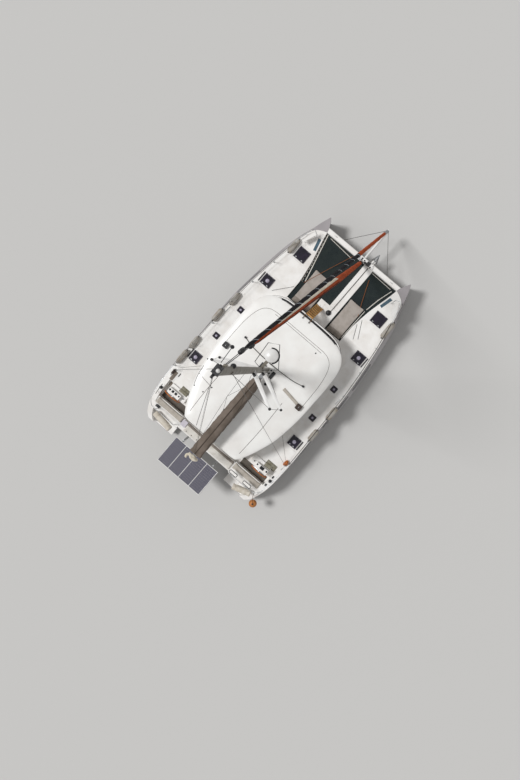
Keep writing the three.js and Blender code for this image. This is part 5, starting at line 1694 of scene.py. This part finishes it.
# Stern
BALL = (-5.76, -3.25, 1.2, 0.18)  # x, y, z and radius
PEDESTAL_SHADES = {
    # x and y where each painted shadow of a wheel and its console starts and ends, a thin gray-green sheet
    # draped ahead of the console
    "port": (-4.05, -3.76, 2.02, 2.46),
    "starboard": (-4.08, -3.76, -3.03, -2.5),
}
# x and y where each taupe slab starts and ends, all on the port side. Their tone is painted shade: the
# darker look the walkway and step beside the console have in the rail cap's shadow
SHADED_WALKWAY = [(-3.93, -3.47, 2.99, 3.15), (-4.17, -3.96, 2.86, 3.03), (-5.5, -5.33, 2.3, 2.8)]
CAP_BLOCKS = [
    # x, y, half length, half width, height, paint
    (-4.71, 3.13, 0.04, 0.03, 0.04, 1), (-4.3, 3.12, 0.04, 0.03, 0.04, 1), (-5.19, 2.75, 0.05, 0.1, 0.1, 0),
    (-3.51, 2.89, 0.09, 0.018, 0.03, 0), (-4.7, -3.13, 0.05, 0.04, 0.05, 0),
    (-4.24, -3.16, 0.06, 0.035, 0.04, 0),
]
SOLAR = (-6.9, -5.58, 1.2)  # x of the aft and fore edge, and half the width
RAIL_PLATES = [(-5.19, -1.73), (-5.17, -2.49)]
SHROUD_COVERS = [(-3.38, -3.17, 0.085, "leather"), (-3.55, 3.2, 0.055, "brown")]  # x, y, radius, paint


def draped(x0, x1, y0, y1, thick):
    """A thin sheet that lies over whatever is under it, used here for painted shadows."""
    steps, reach = 22, 3

    def place(i, j):
        return x0 + (x1 - x0) * i / steps, y0 + (y1 - y0) * j / steps

    ground = {(i, j): deck_z(*place(i, j), 1.75)
              for i in range(-reach, steps + reach + 1) for j in range(steps + 1)}
    rings = []
    for i in range(steps + 1):
        top, low = [], []
        for j in range(steps + 1):
            x, y = place(i, j)
            rim = min(min(i, steps - i) / 4, min(j, steps - j) / 4, 1)
            rest = max(ground[i + k, j] for k in range(-reach, reach + 1))
            lump = 0.25 * noise.noise(Vector((x * 9, y * 9, 2)))
            top.append((x, y, rest + 0.004 + thick * math.sqrt(rim) * (1 + lump)))
            low.append((x, y, rest + 0.002))
        rings.append(low + top[::-1])
    return Form().loft(rings)


def draped_shadows():
    for word, place in PEDESTAL_SHADES.items():
        # each sheet is painted shadow, where the wheel and its console cast shade
        piece(f"console_shadow_{word}", draped(*place, 0.045), "olive", angle=180)


def shroud_covers():
    for number, (x, y, radius, paint) in enumerate(SHROUD_COVERS):
        z = deck_z(x, y) + radius * 0.9
        path = [(x - 0.14, y + 0.02, z), (x, y - 0.01, z + 0.03), (x + 0.14, y, z - 0.01)]
        made = piece(f"shroud_cover_{number}", crumpled(path, radius, 6), paint, angle=180)


def walkway_shade_and_blocks():
    shade_slabs = Form()
    for x0, x1, y0, y1 in SHADED_WALKWAY:
        z = deck_z((x0 + x1) / 2, (y0 + y1) / 2)
        shade_slabs.slab(rounded(x0, x1, y0, y1, 0.03), z + CLEAR, z + 0.01)
    # thin taupe slabs of painted shade on the port side
    piece("walkway_shade_pieces", shade_slabs, "mat", bevel=0.003)
    blocks = Form()
    for x, y, long, wide, high, number in CAP_BLOCKS:
        z = deck_z(x, y)
        blocks.slab(rounded(x - long, x + long, y - wide, y + wide, 0.012), z + CLEAR, z + high, number)
    z = deck_z(-4.56, 3.2) + 0.006
    blocks.ribbon([(-4.3, 3.22, z), (-4.56, 3.21, z), (-4.83, 3.18, z)], 0.025, 0.012)
    piece("quarter_blocks", blocks, ["black_plastic", "gelcoat"], bevel=0.004)


def rail_plates():
    plates = Form()
    for x, y in RAIL_PLATES:
        edge = rounded(x - 0.07, x + 0.07, y - 0.2, y + 0.2, 0.05)
        plates.slab(inset(edge, 0.03), 1.905, 1.92)
        plates.tube([(px, py, 1.912) for px, py in edge + edge[:1]], 0.014, 8, 1)
        plates.tube([(x - 0.06, y, 1.912), (-5.3, y, 1.92)], 0.012, 8, 1)
    piece("rail_plates", plates, ["gelcoat", "black_plastic"], bevel=0.004)


def solar():
    frames = Form()
    aft, fore, half = SOLAR
    for y in (1.18, 0.59, 0.0, -0.59, -1.18):
        frames.box(aft, fore, y - 0.012, y + 0.012, 1.965, 2.006)
    for x in (aft + 0.012, fore - 0.012):
        frames.box(x - 0.012, x + 0.012, -half, half, 1.966, 2.005)
    piece("solar_frames", frames, "white_alloy", bevel=0.002)
    cells = Form()
    for k in range(1, 12):
        x = aft + 0.11 * k
        cells.box(x - 0.0015, x + 0.0015, -1.16, 1.16, 1.9996, 2.0012)
    piece("solar_cell_lines", cells, "alloy")
    dress("davits", "alloy", 0.008)
    dress("solar_panels", "solar", 0.006)


def ball_fender():
    x, y, z, radius = BALL
    angles = [math.pi * i / 16 for i in range(17)]
    rows = [(radius * math.sin(a), (1 - math.cos(a)) / 2) for a in angles]
    ball = Form().post(rows, x, y, z - radius, z + radius, 32)
    ball.post([(0.035, 0), (0.04, 0.5), (0.02, 1)], x, y, z + radius - 0.01, z + radius + 0.05, 16, 1)
    made = piece("ball_fender", ball, ["ball", "black_plastic"], angle=60)
    rope = Form().tube([(x, y, z + radius + 0.03), (-5.4, -3.0, 1.7), (-5.24, -2.96, 1.93)], 0.007, 8)
    piece("ball_lashing", rope, "dark_rope", angle=60)


def stern_seat():
    locker = Form().slab(rounded(-5.14, -4.87, 1.23, 1.47, 0.03), 1.4304, 1.5)
    locker.slab(rounded(-5.15, -4.86, 1.22, 1.48, 0.035), 1.503, 1.52)
    piece("stern_locker", locker, "lilac", bevel=0.006)
    buttons = Form()
    for k in range(5):
        buttons.post([(0.022, 0), (0.022, 0.6), (0.012, 1)], -5.2, -0.12 + 0.295 * k, 1.505, 1.533, 14)
    piece("bench_buttons", buttons, "black_plastic", angle=50)


solar()
ball_fender()
stern_seat()
draped_shadows()
walkway_shade_and_blocks()
rail_plates()
shroud_covers()

for _, word in SIDES:
    skin(f"propeller_{word}", "bronze", f"propeller_{word}_body", angle=30)
